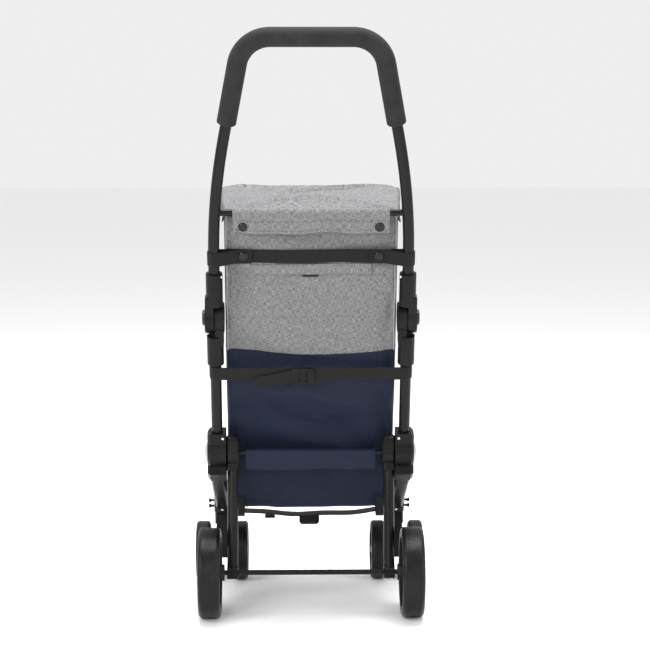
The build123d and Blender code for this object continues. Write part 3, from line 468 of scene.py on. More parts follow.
# rings from the middle of the underside, round the edge, to the middle of the top
board_reach = np.array([0, 0.5, 0.99, 1, 1, 0.99, 0.5, 0])[:, None, None]
board_level = np.array([-1, -1, -1, -0.6, 0.6, 1, 1, 1])[:, None, None]
board_rings = np.concatenate(
    [
        board_middle[:2] + board_round * board_half[:2] * board_reach,
        board_middle[2] + board_level * board_half[2] + np.zeros((1, len(board_turn), 1)),
    ],
    axis=-1,
)
board_map = np.concatenate([board_rings[..., :2], board_rings[:, :1, :2]], axis=1)
board_mesh = grid_mesh("base_board_sheet", board_rings, board_map, wrap=True)
board_sheet = new_piece("base_board_sheet", board_mesh, "chassis", navy_canvas)
# the lower half of the bag folds flat just ahead of the leg sockets
low_fold_ahead = 0.0268
low_fold_anchor = tuple(frame_place(0, low_fold_ahead, hinge_along))
low_folded_share = 0.06
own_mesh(board_sheet)
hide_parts("base_board")

# ------------------------------------------------------------------ the bag
# One sewn bag, cut at the height of the fold hinges so that each half rides with its
# half of the frame. Four panels with round corners; the cloth bellies a little and
# carries soft creases. Walls are 1.6 mm.
lower_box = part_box("bag_lower")
upper_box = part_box("bag_upper")
cloth_thickness = 0.0016
bag_half_width = float(upper_box[1].x) + 0.0002
bag_floor_z = float(lower_box[0].z)
bag_back = 0.0125
bag_low_back = 0.0285
bag_front = 0.204
bag_top_back = 0.4685
bag_top_slope = -24.0 / 193.0
bag_slope_start = 0.012
seam_along = 0.2045
seam_sag = 0.010
back_corner_radius = 0.010
front_corner_radius = 0.022
side_steps = 44
corner_steps = 6
belly_side = 0.0014
belly_front_most = 0.003
by_hinge_start = 0.045
by_hinge_fade = 0.06
side_crease_most = 0.0008
front_crease_most = 0.0024
back_crease_gain = 1.9
back_hollow = 0.0030
back_proud_most = 0.0003
seam_ridge = 0.0007
cut_tuck = 0.003
creases = np.random.default_rng(7)


def smooth(t):
    """Eases from 0 to 1 with level ends: three t squared less two t cubed."""
    t = np.clip(t, 0, 1)
    return t * t * (3 - 2 * t)


def bag_outline(half_width, back, front, front_radius=front_corner_radius):
    """The bag's outline seen from above, at levels whose sizes are column arrays.

    Four quarter circles joined by straight sides, starting at the back right and
    turning by the right to the front. Gives across, ahead and the outward way.
    """
    corners = (
        (1, back, back_corner_radius, -90),
        (1, front, front_radius, 0),
        (-1, front, front_radius, 90),
        (-1, back, back_corner_radius, 180),
    )
    across, ahead, out_x, out_ahead = [], [], [], []
    for side, wall, radius, turn in corners:
        angle = np.radians(turn + np.linspace(0, 90, corner_steps + 1))[None, :]
        inward = 1 if wall is back else -1
        across.append(side * (half_width - radius) + radius * np.cos(angle))
        ahead.append(wall + inward * radius + radius * np.sin(angle))
        out_x.append(np.broadcast_to(np.cos(angle), across[-1].shape))
        out_ahead.append(np.broadcast_to(np.sin(angle), across[-1].shape))
    parts = [[], [], [], []]
    share = np.linspace(0, 1, side_steps + 1)[1:-1][None, :]
    for index in range(4):
        after = (index + 1) % 4
        for part, values in zip(parts, (across, ahead, out_x, out_ahead)):
            start, end = values[index][:, -1:], values[after][:, :1]
            part.extend([values[index], start + (end - start) * share])
    return [np.concatenate(part, axis=1) for part in parts]


crease_count = 14
crease_turn = creases.uniform(-0.5, 0.5, crease_count) + np.where(
    np.arange(crease_count) % 3 == 0, math.pi / 2, 0
)
crease_length = creases.uniform(0.045, 0.16, crease_count)
crease_phase = creases.uniform(0, 2 * math.pi, crease_count)
crease_depth = creases.uniform(0.2, 1.0, crease_count) * crease_length / 60


def crease_height(round_bag, along):
    """Soft creases: sine waves of many directions, each fading in and out slowly."""
    total = 0
    for turn, length, phase, depth in zip(crease_turn, crease_length, crease_phase, crease_depth):
        run = round_bag * math.sin(turn) + along * math.cos(turn)
        fade = np.sin(round_bag * 9 + phase * 3) * np.sin(along * 11 + phase * 5)
        total = total + depth * np.sin(2 * math.pi * run / length + phase) * (0.45 + 0.55 * fade)
    return total


def bag_wall(floor_line, top_line, levels, seam_row=None):
    """The bag's wall between two sloping lines, as places and a cloth map.

    floor_line and top_line give the distance along the frame for a distance ahead.
    Levels rise evenly, or, where there is a seam, to the sagging seam and then on.
    """
    rise = np.linspace(0, 1, levels)[:, None]
    rough_along = floor_line(0.1) + rise * (top_line(0.1) - floor_line(0.1))
    back = bag_back + (bag_low_back - bag_back) * (1 - smooth((rough_along - 0.03) / 0.08))
    wide = np.full_like(rise, bag_half_width)
    across, ahead, out_x, out_ahead = bag_outline(wide, back, np.full_like(rise, bag_front))
    low, high = floor_line(ahead), top_line(ahead)
    along = low + rise * (high - low)
    if seam_row is not None:
        middle = 1 - (across / bag_half_width) ** 2
        seam_line = seam_along - seam_sag * middle * (out_ahead < -0.5)
        below = low + (rise / rise[seam_row]) * (seam_line - low)
        above = seam_line + (rise - rise[seam_row]) / (1 - rise[seam_row]) * (high - seam_line)
        along = np.where(np.arange(levels)[:, None] <= seam_row, below, above)
    step = np.hypot(np.diff(across, append=across[:, :1]), np.diff(ahead, append=ahead[:, :1]))
    round_bag = np.concatenate([np.zeros((levels, 1)), np.cumsum(step, axis=1)], axis=1)
    flat_share = np.maximum(abs(out_x), abs(out_ahead)) ** 8
    # the back is held flat between the tubes, and the sides stay clear of the hinges
    on_back = smooth(-out_ahead)
    by_hinge = smooth((ahead - by_hinge_start) / by_hinge_fade)
    freedom = np.where(on_back > 0.5, 1.0, by_hinge)
    depth_share = (ahead - bag_back) / (bag_front - bag_back)
    belly_x = abs(out_x) * np.sin(np.clip(depth_share, 0, 1) * math.pi) * belly_side
    belly_front = np.clip(out_ahead, 0, 1) * np.cos(across / bag_half_width * math.pi / 2)
    belly_front = belly_front * belly_front_most
    crease = crease_height(round_bag[:, :-1], along) * flat_share * freedom
    crease_most = np.where(out_ahead > 0.5, front_crease_most, side_crease_most)
    push = (belly_x + belly_front) * by_hinge + np.minimum(crease, crease_most)
    back_push = np.minimum(back_crease_gain * crease - back_hollow * flat_share, back_proud_most)
    push = np.where(on_back > 0.5, back_push, push)
    if seam_row is not None:
        # the top is folded inside the upper half's edge; the seam is a low double ridge
        push = push - cut_tuck * smooth((along - hinge_along + 0.0018) / 0.0012)
        from_seam = along - seam_line
        push = push + seam_ridge * np.exp(-(((from_seam - 0.0035) / 0.0028) ** 2))
    places = frame_place(across + out_x * push, ahead + out_ahead * push, along)
    map_along = np.concatenate([along, along[:, :1]], axis=1)
    return places, np.stack([round_bag, map_along], axis=-1)


def along_at_height(ahead, z):
    """Distance along the frame at which a point this far ahead is at height z."""
    return (z - pivot_at[2] - ahead * math.sin(lean)) / math.cos(lean)


def solid_cloth(piece, thickness=cloth_thickness, offset=-1.0):
    """Gives a cloth surface its wall, grown inwards from the face that shows."""
    wall = piece.modifiers.new("wall", "SOLIDIFY")
    wall.thickness = thickness
    wall.offset = offset
    wall.use_even_offset = False
    return piece


floor_round = 0.014
floor_dip = 0.002
lower_seam_row = 94
lower_past_cut = 0.004
upper_past_cut = 0.002
lower_places, lower_map = bag_wall(
    lambda ahead: along_at_height(ahead, bag_floor_z + floor_round),
    lambda ahead: hinge_along + lower_past_cut + 0 * ahead,
    levels=120,
    seam_row=lower_seam_row,
)
# rings that turn under the bottom edge and close the floor
first_ring = lower_places[0]
ring_middle = first_ring.mean(axis=0)
edge_angles = np.radians(np.linspace(82, 8, 6))
reach = np.linalg.norm(first_ring[:, :2] - ring_middle[:2], axis=1)[:, None]
edge_rings = []
for angle in edge_angles:
    draw_in = floor_round * (1 - math.cos(angle)) / reach
    ring = ring_middle + (first_ring - ring_middle) * (1 - draw_in)
    ring = ring - [0, 0, floor_round * math.sin(angle)]
    edge_rings.append(ring)
floor_rings = []
for share in (0.9, 0.75, 0.55, 0.35, 0.15, 0.0):
    ring = ring_middle + (first_ring - ring_middle) * share * (1 - floor_round / reach)
    dip = floor_dip * math.sin(share * math.pi)
    floor_rings.append(ring * [1, 1, 0] + [0, 0, bag_floor_z + dip])
all_places = np.concatenate([np.array(floor_rings[::-1]), np.array(edge_rings), lower_places])
extra_rows = len(all_places) - len(lower_places)
extra_map = np.repeat(lower_map[:1], extra_rows, axis=0)
extra_map[..., 1] -= np.linspace(0.12, 0.002, extra_rows)[:, None]
all_map = np.concatenate([extra_map, lower_map])
lower_mesh = grid_mesh("bag_lower_cloth", all_places, all_map, wrap=True)
lower_bag = new_piece("bag_lower_cloth", lower_mesh, "chassis", navy_canvas)
lower_mesh.materials.append(grey_canvas)
face_rows = np.repeat(np.arange(len(all_places) - 1), all_places.shape[1])
lower_mesh.polygons.foreach_set(
    "material_index", (face_rows >= extra_rows + lower_seam_row).astype(int)
)
solid_cloth(lower_bag)
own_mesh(lower_bag)
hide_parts("bag_lower")

upper_places, upper_map = bag_wall(
    lambda ahead: hinge_along - upper_past_cut + 0 * ahead,
    lambda ahead: bag_top_back + bag_top_slope * (ahead - bag_slope_start),
    levels=70,
)
upper_mesh = grid_mesh("bag_upper_cloth", upper_places, upper_map, wrap=True)
upper_bag = new_piece("bag_upper_cloth", upper_mesh, "handle", grey_canvas)
solid_cloth(upper_bag)
fold_anchor = tuple(frame_place(0, bag_back, hinge_along))
folded_share = 0.14
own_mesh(upper_bag)
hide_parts("bag_upper")


# ------------------------------------------------------------------ lid
# The same canvas over a thin foam sheet: a soft cap hinged on the bag's back top edge,
# crowned in the middle, with a long front flap and short sides that bunch at the corners.
lid_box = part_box("bag_lid")
lid_half_width = float(lid_box[1].x) - 0.001
lid_back = 0.014
lid_front = 0.2095
lid_flare = 0.0075
lid_corner_radius = 0.009
lid_crown = 0.0055
lid_rise = 0.0045
lid_edge_drop = 0.004
lid_back_skirt = 0.006
lid_side_skirt = 0.021
lid_front_skirt = 0.050
lid_wide = np.full((1, 1), lid_half_width)
rim_across, rim_ahead, rim_out_x, rim_out_ahead = (
    part[0]
    for part in bag_outline(
        lid_wide, np.full((1, 1), lid_back), np.full((1, 1), lid_front), lid_corner_radius
    )
)
rim_across = rim_across + np.sign(rim_across) * lid_flare * smooth((rim_ahead - 0.03) / 0.15) * (
    abs(rim_across) / lid_half_width
)
rim_step = np.hypot(
    np.diff(rim_across, append=rim_across[0]), np.diff(rim_ahead, append=rim_ahead[0])
)
rim_run = np.concatenate([[0], np.cumsum(rim_step)])


def lid_top(ahead):
    """Height along the frame of the lid's upper face above the bag's sloping edge."""
    return bag_top_back + bag_top_slope * (ahead - bag_slope_start) + lid_rise


lid_middle_ahead = (lid_back + lid_front) / 2
lid_rows, lid_maps = [], []
for share in np.linspace(0.0, 1.0, 26):
    across = rim_across * share
    ahead = lid_middle_ahead + (rim_ahead - lid_middle_ahead) * share
    edge = np.clip((share - 0.86) / 0.14, 0, 1)
    crown = lid_crown * (1 - share**3) - lid_edge_drop * edge**2
    ripple = crease_height(rim_run[:-1] * share * 1.7 + 0.4, ahead * 1.3 + share * 0.2) * 1.5
    ripple = np.clip(ripple, -0.006, 0.004)
    pucker = 0.0016 * np.sin(across * 95 + 0.6) * np.exp(-((ahead - lid_back) / 0.05) ** 2)
    along = lid_top(ahead) + crown + ripple * (0.3 + 0.7 * (1 - edge)) + pucker
    lid_rows.append(frame_place(across, ahead, along))
    lid_maps.append(np.stack([np.append(across, across[0]), np.append(ahead, ahead[0])], axis=-1))
skirt_drop = np.where(
    rim_out_ahead < -0.4,
    lid_back_skirt,
    lid_side_skirt + (lid_front_skirt - lid_side_skirt) * smooth((rim_ahead - 0.15) / 0.055),
)
bunch = np.exp(-(((rim_ahead - lid_back) / 0.03) ** 2)) * (abs(rim_out_x) > 0.5)
for share in np.linspace(0.08, 1.0, 12):
    swing = 0.0022 * np.sin(rim_run[:-1] * 70 + 1.1) * share * (0.4 + 0.6 * (rim_out_ahead > -0.4))
    flare = np.minimum(swing + 0.0012 * share, 0.003) * np.where(rim_out_ahead < -0.4, 0.2, 1)
    fold_in = bunch * 0.003 * np.sin(share * 9)
    across = rim_across + rim_out_x * (flare - 0.002)
    ahead = rim_ahead + rim_out_ahead * (flare - 0.0005)
    hem_wave = 1 + 0.022 * np.sin(rim_run[:-1] * 41 + 0.7)
    along = lid_top(rim_ahead) - lid_edge_drop - skirt_drop * share * hem_wave + fold_in
    lid_rows.append(frame_place(across, ahead, along))
    lid_maps.append(np.stack([rim_run, np.append(along, along[0])], axis=-1))
lid_mesh = grid_mesh("lid_cloth", np.array(lid_rows)[::-1], np.array(lid_maps)[::-1], wrap=True)
lid_cloth = new_piece("lid_cloth", lid_mesh, "lid", grey_canvas)
solid_cloth(lid_cloth, 0.0018)
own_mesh(lid_cloth)
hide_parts("bag_lid")


# ------------------------------------------------------------------ hanging flaps
# Doubled canvas sewn into the bag's back seam. It passes over a cross rod and hangs
# down behind it, with a turned hem that waves a little: grey above, navy below.
hem_lean = 0.0006
hem_step = 0.0009
corner_bow = 0.003


def flap_path(rod_radius, front_ahead, front_drop, back_drop):
    """Side-view path over a rod: up the front, half a turn, and down the back."""
    turn = np.radians(np.linspace(35, 180, 22))
    over = np.stack([rod_radius * np.cos(turn), rod_radius * np.sin(turn)], axis=-1)
    climb = np.linspace([front_ahead, -front_drop], over[0], 8)[:-1]
    hang = np.linspace(over[-1], [-rod_radius - hem_lean, -back_drop], 44)[1:]
    return np.concatenate([climb, over, hang])


def hem_stand(across, wave):
    """How far a hem stands off behind its rod: a constant and two sine waves."""
    ripple = np.sin(across * 38 + 0.8) * 0.6 + np.sin(across * 83 + 2.0) * 0.4
    return 0.0012 + wave * 0.0016 * (1 + ripple)


def hem_sway(across, wave):
    """How far a hem strays up and down: a sine wave and half of a quicker one."""
    return wave * 0.0022 * (np.sin(across * 31 + 0.4) + 0.5 * np.sin(across * 67))


def hanging_flap(name, along, rod_radius, half_width, front_ahead, front_drop, back_drop, wave):
    """A flap over a rod: its side-view path carried across, with a waving hem."""
    path = flap_path(rod_radius, front_ahead, front_drop, back_drop)
    across = np.linspace(half_width, -half_width, 90)[None, :]
    run = np.concatenate([[0], np.cumsum(np.linalg.norm(np.diff(path, axis=0), axis=1))])[:, None]
    hanging = smooth((-path[:, 1:] / back_drop)) * (path[:, :1] < 0)
    ahead = path[:, :1] - hanging * hem_stand(across, wave)
    hem = hanging * hem_sway(across, wave)
    bow = hanging * corner_bow * (abs(across) / half_width) ** 6
    # the hem is turned up inside, so the cloth steps out at its stitched line
    depth = -path[:, 1:] * (path[:, :1] < 0)
    ahead = ahead - hem_step * smooth((depth - 0.40 * back_drop) / 0.0012)
    ahead = ahead - 0.0005 * np.exp(-(((depth - 0.93 * back_drop) / 0.0014) ** 2))
    places = frame_place(across, ahead, along + path[:, 1:] + hem + bow)
    flat_map = np.stack(np.broadcast_arrays(across, run), axis=-1)
    return grid_mesh(name, places, flat_map), float(run[-1, 0])


flap_play = 0.0012
rod_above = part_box("upper_crossbar")
rod_radius = (rod_above[1].z - rod_above[0].z) / 2
crossbar_at = (np.array(rod_above[0]) + np.array(rod_above[1])) / 2 * [0, 1, 1]
crossbar_along = float((crossbar_at - pivot_at * [0, 1, 1]) @ along_way)
upper_flap_half = float(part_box("upper_flap")[1].x)
flap_mesh, flap_length = hanging_flap(
    "upper_flap_cloth", crossbar_along, rod_radius + flap_play, upper_flap_half,
    front_ahead=0.0112, front_drop=0.024, back_drop=0.0345, wave=1.0,
)
upper_flap = new_piece("upper_flap_cloth", flap_mesh, "handle", grey_canvas)
solid_cloth(upper_flap, 0.0014, 0.0)
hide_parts("upper_flap")

lower_flap_half = float(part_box("lower_flap")[1].x)
# the rod under this flap is as thick as the axle
low_rod_radius = float(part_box("rear_axle")[1].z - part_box("rear_axle")[0].z) / 2
low_flap_mesh, low_flap_length = hanging_flap(
    "lower_flap_cloth", 0.0, low_rod_radius + flap_play, lower_flap_half,
    front_ahead=0.0268, front_drop=0.03, back_drop=0.0305, wave=0.7,
)
lower_flap = new_piece("lower_flap_cloth", low_flap_mesh, "chassis", navy_canvas)
solid_cloth(lower_flap, 0.0014, 0.0)
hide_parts("lower_flap")


# ------------------------------------------------------------------ webbing
# Black polyester webbing, 25 mm wide and 1.6 mm thick, with ribs across it and rolled
# edges. Each strap is a ribbon carried along its path.
black_webbing = cloth_finish(
    "black_webbing", (0.003, 0.0029, 0.0028), (0.0125, 0.012, 0.0115), 900, 1.2, 0.7, 0.0005, 0.03
)
webbing_width = 0.025
webbing_thickness = 0.0016


def rounded_path(points, rounds=3):
    """Cuts a path's corners again and again, a quarter from each end of each run."""
    points = np.asarray(points, float)
    for _ in range(rounds):
        near = points[:-1] * 0.75 + points[1:] * 0.25
        far = points[:-1] * 0.25 + points[1:] * 0.75
        middle = np.stack([near, far], axis=1).reshape(-1, points.shape[1])
        points = np.concatenate([points[:1], middle, points[-1:]])
    return points


def ribbon(name, path, across_way, width=webbing_width, thickness=webbing_thickness):
    """A flat strap along a path: a section with round edges, square to the path.

    across_way is the strap's width direction; its thickness lies square to that and
    to the path. Both ends are closed by rings that shrink to their middle.
    """
    path = np.asarray(path, float)
    across_way = np.broadcast_to(across_way, path.shape)
    heading = np.gradient(path, axis=0)
    heading /= np.linalg.norm(heading, axis=1, keepdims=True)
    face = np.cross(heading, across_way)
    face /= np.linalg.norm(face, axis=1, keepdims=True)
    turn = np.radians(np.arange(0, 360, 22.5) + 11.25)
    flat = width / 2 * np.sign(np.cos(turn)) * abs(np.cos(turn)) ** 0.35
    thick = thickness / 2 * np.sign(np.sin(turn)) * abs(np.sin(turn)) ** 0.8
    section = flat[None, :, None] * across_way[:, None] + thick[None, :, None] * face[:, None]
    rings = np.concatenate(
        [path[:1, None] + 0 * section[:1], path[:, None] + section, path[-1:, None] + 0 * section[-1:]]
    )
    run = np.concatenate([[0], np.cumsum(np.linalg.norm(np.diff(path, axis=0), axis=1))])
    run = np.concatenate([[run[0]], run, [run[-1]]])
    flat_map = np.stack(
        np.broadcast_arrays(np.append(flat, flat[0])[None, :], run[:, None]), axis=-1
    )
    return grid_mesh(name, rings, flat_map, wrap=True)


def joined(name, meshes):
    """One mesh from several, keeping their cloth maps."""
    whole = [bpy.data.objects.new(f"{name}_{index}", mesh) for index, mesh in enumerate(meshes)]
    for part in whole:
        scene.collection.objects.link(part)
    with bpy.context.temp_override(active_object=whole[0], selected_editable_objects=whole):
        bpy.ops.object.join()
    mesh = whole[0].data
    bpy.data.objects.remove(whole[0])
    mesh.name = name
    return mesh


side_tube_radius = 0.010
tube_x = float(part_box("main_tubes")[1].x) - side_tube_radius


def wrap_round(side, radius, first, last, steps=14):
    """Across and ahead of an arc round a side tube, from one angle to another."""
    angle = np.radians(np.linspace(first, last, steps))
    return np.stack([side * (tube_x + radius * np.cos(angle)), radius * np.sin(angle)], axis=-1)


tube_hold = side_tube_radius + webbing_thickness / 2 + 0.0002
upper_strap_along = hinge_along + 0.121
strap_parts = []
band_ahead = bag_back - 0.0022
band_half = 0.149
band_x = np.linspace(-band_half, band_half, 60)
band_bow = 0.0008 * np.sin(band_x * 30)
strap_parts.append(
    ribbon(
        "band",
        frame_place(band_x, band_ahead, upper_strap_along - 0.0015 * np.cos(band_x * 10) + band_bow),
        along_way,
    )
)
for side in (-1, 1):
    arc = wrap_round(side, tube_hold, 110, -82)
    tab = np.concatenate(
        [
            [[side * 0.142, band_ahead - 0.0004]],
            arc,
            [[side * 0.150, -0.0035], [side * 0.135, 0.0058], [side * 0.105, 0.0062]],
        ]
    )
    tab = np.concatenate([tab[:1], tab[1:-3], rounded_path(tab[-4:], 3)[1:]])
    strap_parts.append(
        ribbon("tab", frame_place(tab[:, 0], tab[:, 1], upper_strap_along - 0.0005), along_way, 0.0262)
    )
strap_mesh = joined("upper_strap_webbing", strap_parts)
upper_strap = new_piece("upper_strap_webbing", strap_mesh, "handle", black_webbing)
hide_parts("upper_strap")

lower_strap_along = hinge_along - 0.101
left_end = wrap_round(-1, tube_hold, 140, -85)
right_end = wrap_round(1, tube_hold, -85, 140)
cross_x = np.linspace(-tube_x + 0.004, tube_x - 0.004, 50)[1:-1]
cross = np.stack([cross_x, -tube_hold - 0.0004 * np.cos(cross_x * 9)], axis=-1)
loop = np.concatenate([left_end, cross, right_end])
lower_sag = lower_strap_along - 0.0012 * np.cos(loop[:, 0] * 9)
lower_parts = [ribbon("cross", frame_place(loop[:, 0], loop[:, 1], lower_sag), along_way)]
tail = rounded_path(
    [
        [-0.006, -0.0138, 0.1660],
        [-0.034, -0.0150, 0.1640],
        [-0.060, -0.0146, 0.1575],
        [-0.082, -0.0138, 0.1530],
        [-0.098, -0.0152, 0.1510],
    ]
)
lower_parts.append(ribbon("tail", frame_place(*tail.T), along_way))
lower_strap_mesh = joined("lower_strap_webbing", lower_parts)
lower_strap = new_piece("lower_strap_webbing", lower_strap_mesh, "chassis", black_webbing)
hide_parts("lower_strap")

# The bottom strap hangs between the arms' tips, tipped so that its lower edge is back.
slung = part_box("bottom_strap")
slung_y = (slung[0].y + slung[1].y) / 2
slung_x = np.linspace(slung[0].x + 0.0005, slung[1].x - 0.0005, 70)
slung_share = slung_x / slung[1].x
slung_z = slung[1].z - 0.001 - (slung[1].z - slung[0].z - 0.002) * (1 - slung_share**2)
slung_z = slung_z + 0.0012 * np.sin(slung_x * 55)
slung_path = np.stack([slung_x, slung_y + 0 * slung_x, slung_z], axis=-1)
tip = math.radians(11)
slung_across = np.array([0, math.cos(tip), math.sin(tip)])
slung_mesh = ribbon("bottom_strap_webbing", slung_path, slung_across, 0.0235)
bottom_strap = new_piece("bottom_strap_webbing", slung_mesh, "chassis", black_webbing)
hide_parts("bottom_strap")

# ------------------------------------------------------------------ pocket, piping, stitching
# A flat document pocket is sewn to the back under the strap: its mouth is a turned hem,
# and a small black tab marks it. Pale piping is sewn into the upper edges of the back.
def pocket_sway(across):
    """How far the pocket's edges stray up and down: one slow sine wave."""
    return 0.0008 * np.sin(across * 26)


pocket_half = 0.108
pocket_along_low = 0.3505
pocket_length = 0.0215
pocket_across = np.linspace(-pocket_half, pocket_half, 80)[None, :]
pocket_rise = np.linspace(0, 1, 14)[:, None]
pocket_along = pocket_along_low + pocket_length * pocket_rise + pocket_sway(pocket_across)
pocket_gape = 0.0011 * smooth((pocket_rise - 0.3) / 0.7) * (1 + 0.5 * np.sin(pocket_across * 44 + 1))
pocket_gape = pocket_gape * (1 - (pocket_across / pocket_half) ** 8)
pocket_places = frame_place(pocket_across, bag_back - 0.0003 - pocket_gape, pocket_along)
pocket_map = np.stack(np.broadcast_arrays(pocket_across, pocket_along), axis=-1)
pocket_mesh = grid_mesh("back_pocket", pocket_places, pocket_map)
pocket = new_piece("back_pocket", pocket_mesh, "handle", grey_canvas)
solid_cloth(pocket, 0.0012, 0.0)
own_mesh(pocket)


def round_tube(name, path, radius, sides_round=10):
    """A closed-ended round tube: a circle square to each step of its path."""
    path = np.asarray(path, float)
    heading = np.gradient(path, axis=0)
    heading /= np.linalg.norm(heading, axis=1, keepdims=True)
    side = np.cross(heading, [0.31, 0.9, 0.17])
    side /= np.linalg.norm(side, axis=1, keepdims=True)
    other = np.cross(heading, side)
    turn = np.linspace(0, 2 * math.pi, sides_round, endpoint=False)[None, :, None]
    ring = radius * (np.cos(turn) * side[:, None] + np.sin(turn) * other[:, None])
    rings = np.concatenate(
        [path[:1, None] + 0 * ring[:1], path[:, None] + ring, path[-1:, None] + 0 * ring[:1]]
    )
    run = np.concatenate([[0], np.cumsum(np.linalg.norm(np.diff(path, axis=0), axis=1))])
    run = np.concatenate([run[:1], run, run[-1:]])
    around = np.linspace(0, 2 * math.pi * radius, sides_round + 1)
    flat_map = np.stack(np.broadcast_arrays(around[None, :], run[:, None]), axis=-1)
    return grid_mesh(name, rings, flat_map, wrap=True)


for piping_name, piping_ends, body, anchor, share in (
    ("lower_piping", (0.2035, hinge_along), "chassis", low_fold_anchor, low_folded_share),
    ("upper_piping", (hinge_along, bag_top_back - 0.004), "handle", fold_anchor, folded_share),
):
    rise = np.linspace(*piping_ends, 60)
    piping_parts = []
    for side in (-1, 1):
        wander = 0.0004 * np.sin(rise * 61 + side)
        edge = frame_place(side * (bag_half_width - 0.0035) + wander, bag_back + 0.0012, rise)
        piping_parts.append(round_tube("piping", edge, 0.0015))
    piping_mesh = joined(piping_name, piping_parts)
    piping = new_piece(piping_name, piping_mesh, body, pale_piping)
    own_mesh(piping)

tab_across = np.linspace(-0.015, 0.014, 12)
pocket_tab = ribbon(
    "pocket_tab",
    frame_place(tab_across - 0.0005, bag_back - 0.0013, 0.3495 + 0 * tab_across),
    along_way,
    0.0035,
    0.0008,
)
new_piece("pocket_tab", pocket_tab, "handle", black_webbing)


def stitches(name, path, face_way, pitch=0.0042, length=0.0028, radius=0.00028):
    """A row of lockstitches: short six-sided beads laid end to end along a path."""
    path = np.asarray(path, float)
    run = np.concatenate([[0], np.cumsum(np.linalg.norm(np.diff(path, axis=0), axis=1))])
    starts = np.arange(pitch / 2, run[-1] - length, pitch)
    knots = np.array([0, 0.12, 0.5, 0.88, 1])
    swell = np.array([0.05, 0.75, 1.0, 0.75, 0.05]) * radius
    sides, bead_points = 6, 6 * len(knots)
    at = starts[:, None] + knots[None, :] * length
    places = np.stack([np.interp(at, run, path[:, axis]) for axis in range(3)], axis=-1)
    heading = places[:, -1] - places[:, 0]
    heading /= np.linalg.norm(heading, axis=1, keepdims=True)
    face_way = np.broadcast_to(np.asarray(face_way, float), heading.shape)
    side = np.cross(heading, face_way)
    turn = np.linspace(0, 2 * math.pi, sides, endpoint=False)
    ring = np.cos(turn)[None, :, None] * side[:, None] + np.sin(turn)[None, :, None] * face_way[:, None]
    vertices = places[:, :, None] + swell[None, :, None, None] * ring[:, None]
    count = len(starts)
    first = (np.arange(count) * bead_points)[:, None, None]
    level = np.arange(len(knots) - 1)[None, :, None] * sides
    around = np.arange(sides)[None, None, :]
    after = (around + 1) % sides
    faces = np.stack(
        [
            first + level + around, first + level + sides + around,
            first + level + sides + after, first + level + after,
        ],
        axis=-1,
    ).reshape(-1, 4)
    start_ring, end_ring = np.arange(sides), bead_points - 1 - np.arange(sides)
    ends = np.concatenate([first[:, 0] + start_ring, first[:, 0] + end_ring])
    mesh = bpy.data.meshes.new(name)
    mesh.from_pydata(vertices.reshape(-1, 3).tolist(), [], faces.tolist() + ends.tolist())
    mesh.polygons.foreach_set("use_smooth", np.ones(len(mesh.polygons), bool))
    mesh.uv_layers.new(name="cloth")
    mesh.update()
    return mesh


# Stitch thread, coloured darker than the canvas. This is partly the thread's own colour and partly
# painted shade, standing in for the shadow in each stitched groove.
thread_and_groove_shade = hard_finish(
    "thread_and_groove_shade", (0.05, 0.05, 0.052), (0.1, 0.1, 0.103), 0.6, 0.15, 2500, 300, 0.00005,
    Sheen_Weight=0.1,
)
stitch_x = np.linspace(-pocket_half, pocket_half, 60)
pocket_stitches = [
    stitches(
        "row",
        frame_place(row_x, bag_back - proud, row_along + pocket_sway(row_x)),
        -ahead_way,
    )
    for row_x, proud, row_along in (
        (stitch_x, 0.0014, 0.3525),
        (stitch_x[2:-2], 0.0022, 0.3692),
    )
]
hem_x = np.linspace(-upper_flap_half + 0.003, upper_flap_half - 0.003, 90)
hem_back = -(rod_radius + flap_play) - hem_lean - hem_stand(hem_x, 1.0) - hem_step
hem_lift = hem_sway(hem_x, 1.0) + corner_bow * (abs(hem_x) / upper_flap_half) ** 6
for row_back, row_drop in ((hem_back - 0.0009, 0.0290), (hem_back * 0.5 - 0.0041, 0.0125)):
    row_places = frame_place(hem_x, row_back, crossbar_along - row_drop + hem_lift)
    pocket_stitches.append(stitches("row", row_places, -ahead_way))
stitch_mesh = joined("back_stitches", pocket_stitches)
new_piece("back_stitches", stitch_mesh, "handle", thread_and_groove_shade)

# Loops of webbing on the bag's bottom corners hold it down to the strap between the arms.
loop_x = 0.1315
loop_parts = []
for side in (-1, 1):
    base = float(along_at_height(bag_low_back, bag_floor_z + 0.024))
    start = frame_place(side * loop_x, bag_low_back - 0.0014, base)
    foot_place = frame_place(side * loop_x, bag_low_back - 0.0010, base - 0.040)
    under = foot_place + np.array([0, 0.018, -0.006])
    back_up = under + np.array([0, 0.026, 0.019])
    loop_path = rounded_path([start, (start + foot_place) / 2, foot_place, under, back_up])
    loop_parts.append(ribbon("loop", loop_path, np.array([1.0, 0, 0]), 0.0145, 0.0014))
loops_mesh = joined("corner_loops", loop_parts)
new_piece("corner_loops", loops_mesh, "chassis", black_webbing)


# ------------------------------------------------------------------ turned small parts
# Snap buttons, rivet heads and screws: an outline spun round the fastener's own axis.
def turned_part(name, outline, middle, axis, steps=40):
    """Spins an outline of (radius, height) pairs round an axis through middle."""
    axis = np.asarray(axis, float) / np.linalg.norm(axis)
    side = np.cross(axis, [0.3, 0.5, 0.81])
    side /= np.linalg.norm(side)
    other = np.cross(axis, side)
    turn = np.linspace(0, 2 * math.pi, steps, endpoint=False)[None, :, None]
    outline = np.asarray(outline, float)
    radius, height = outline[:, 0][:, None, None], outline[:, 1][:, None, None]
    places = middle + radius * (np.cos(turn) * side + np.sin(turn) * other) + height * axis
    run = np.linspace(0, 1, len(outline))[:, None]
    flat_map = np.stack(np.broadcast_arrays(np.linspace(0, 1, steps + 1)[None, :], run), axis=-1)
    return grid_mesh(name, places, flat_map, wrap=True)


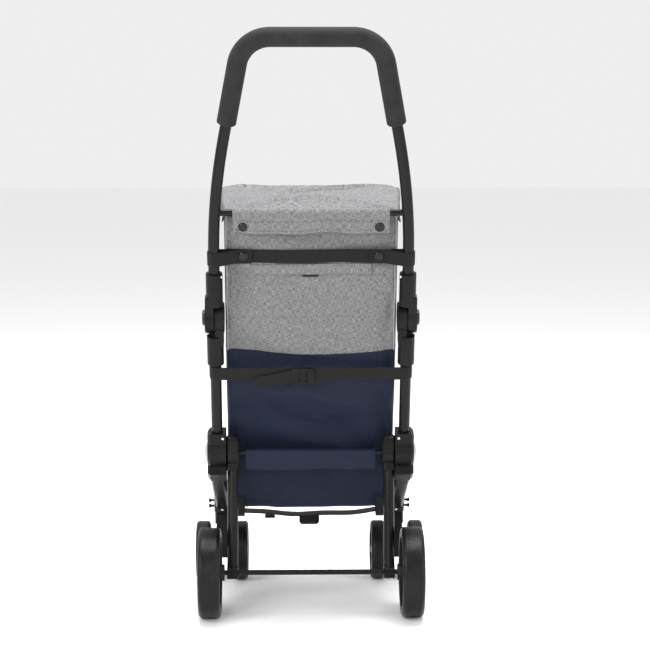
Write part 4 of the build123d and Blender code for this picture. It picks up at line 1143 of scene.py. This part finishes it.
snap_x = 0.120
flap_snap_drop = 0.0235
snap_outline = rounded_path(
    [[0.0, 0.0], [0.0088, 0.0], [0.0088, 0.0016], [0.0070, 0.0030], [0.0052, 0.0034],
     [0.0046, 0.0026], [0.0036, 0.0024], [0.0, 0.0027]], 2
)
snap_parts = []
for side in (-1, 1):
    for snap_ahead, snap_along in (
        (-rod_radius - 0.0036, crossbar_along - flap_snap_drop),
        (0.0053, upper_strap_along),
    ):
        place = frame_place(side * snap_x, snap_ahead, snap_along)
        snap_parts.append(turned_part("snap", snap_outline, place, -ahead_way))
snap_mesh = joined("snap_buttons_turned", snap_parts)
black_snap = hard_finish(
    "black_snap", (0.004, 0.004, 0.0043), (0.009, 0.009, 0.0095), 0.16, 0.12, 800, 90, 0.00003,
    Specular_IOR_Level=0.3,
)
snaps = new_piece("snap_buttons_turned", snap_mesh, "handle", black_snap)
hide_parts("snap_buttons")

head_outline = rounded_path(
    [[0.0, 0.0], [0.0030, 0.0], [0.0029, 0.0009], [0.0018, 0.0019], [0.0, 0.0022]], 2
)


def heads(name, body, places_and_ways):
    """Small bright fastener heads on one body."""
    mesh = joined(
        name, [turned_part("head", head_outline, place, way, 20) for place, way in places_and_ways]
    )
    new_piece(name, mesh, body, bright_head)


heads(
    "sleeve_rivets",
    "handle",
    [
        (
            frame_place(side * (tube_x - 0.0132), -0.0068, hinge_along + 0.0870),
            np.array([-side * 0.89, 0, 0]) - 0.46 * ahead_way,
        )
        for side in (-1, 1)
    ],
)
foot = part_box("leg_foot_left")
axle_seat = 0.012
leg_radius = 0.0098
leg_x = abs(foot[0].x + foot[1].x) / 2
leg_way = np.array([0, foot[0].y + axle_seat - pivot_at[1], foot[0].z + axle_seat - pivot_at[2]])
leg_way = leg_way / np.linalg.norm(leg_way)
leg_back = np.cross([1.0, 0, 0], leg_way)
heads(
    "foot_rivets",
    "rear_legs",
    [
        (
            np.array([side * (leg_x - inward), 0, 0]) + pivot_at * [0, 1, 1] + leg_way * down
            + leg_back * (leg_radius * math.cos(inward / 0.010)),
            leg_back + np.array([-side * inward / 0.010, 0, 0]),
        )
        for side in (-1, 1)
        for inward, down in ((0.0035, 0.213), (0.0078, 0.2185))
    ],
)
arm_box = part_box("front_arm_left")
arm_x = abs(arm_box[0].x + arm_box[1].x) / 2
heads(
    "arm_screws",
    "chassis",
    [
        (np.array([side * arm_x, arm_box[1].y - 0.0338, arm_box[0].z + 0.006]), (0, -1, -0.25))
        for side in (-1, 1)
    ],
)
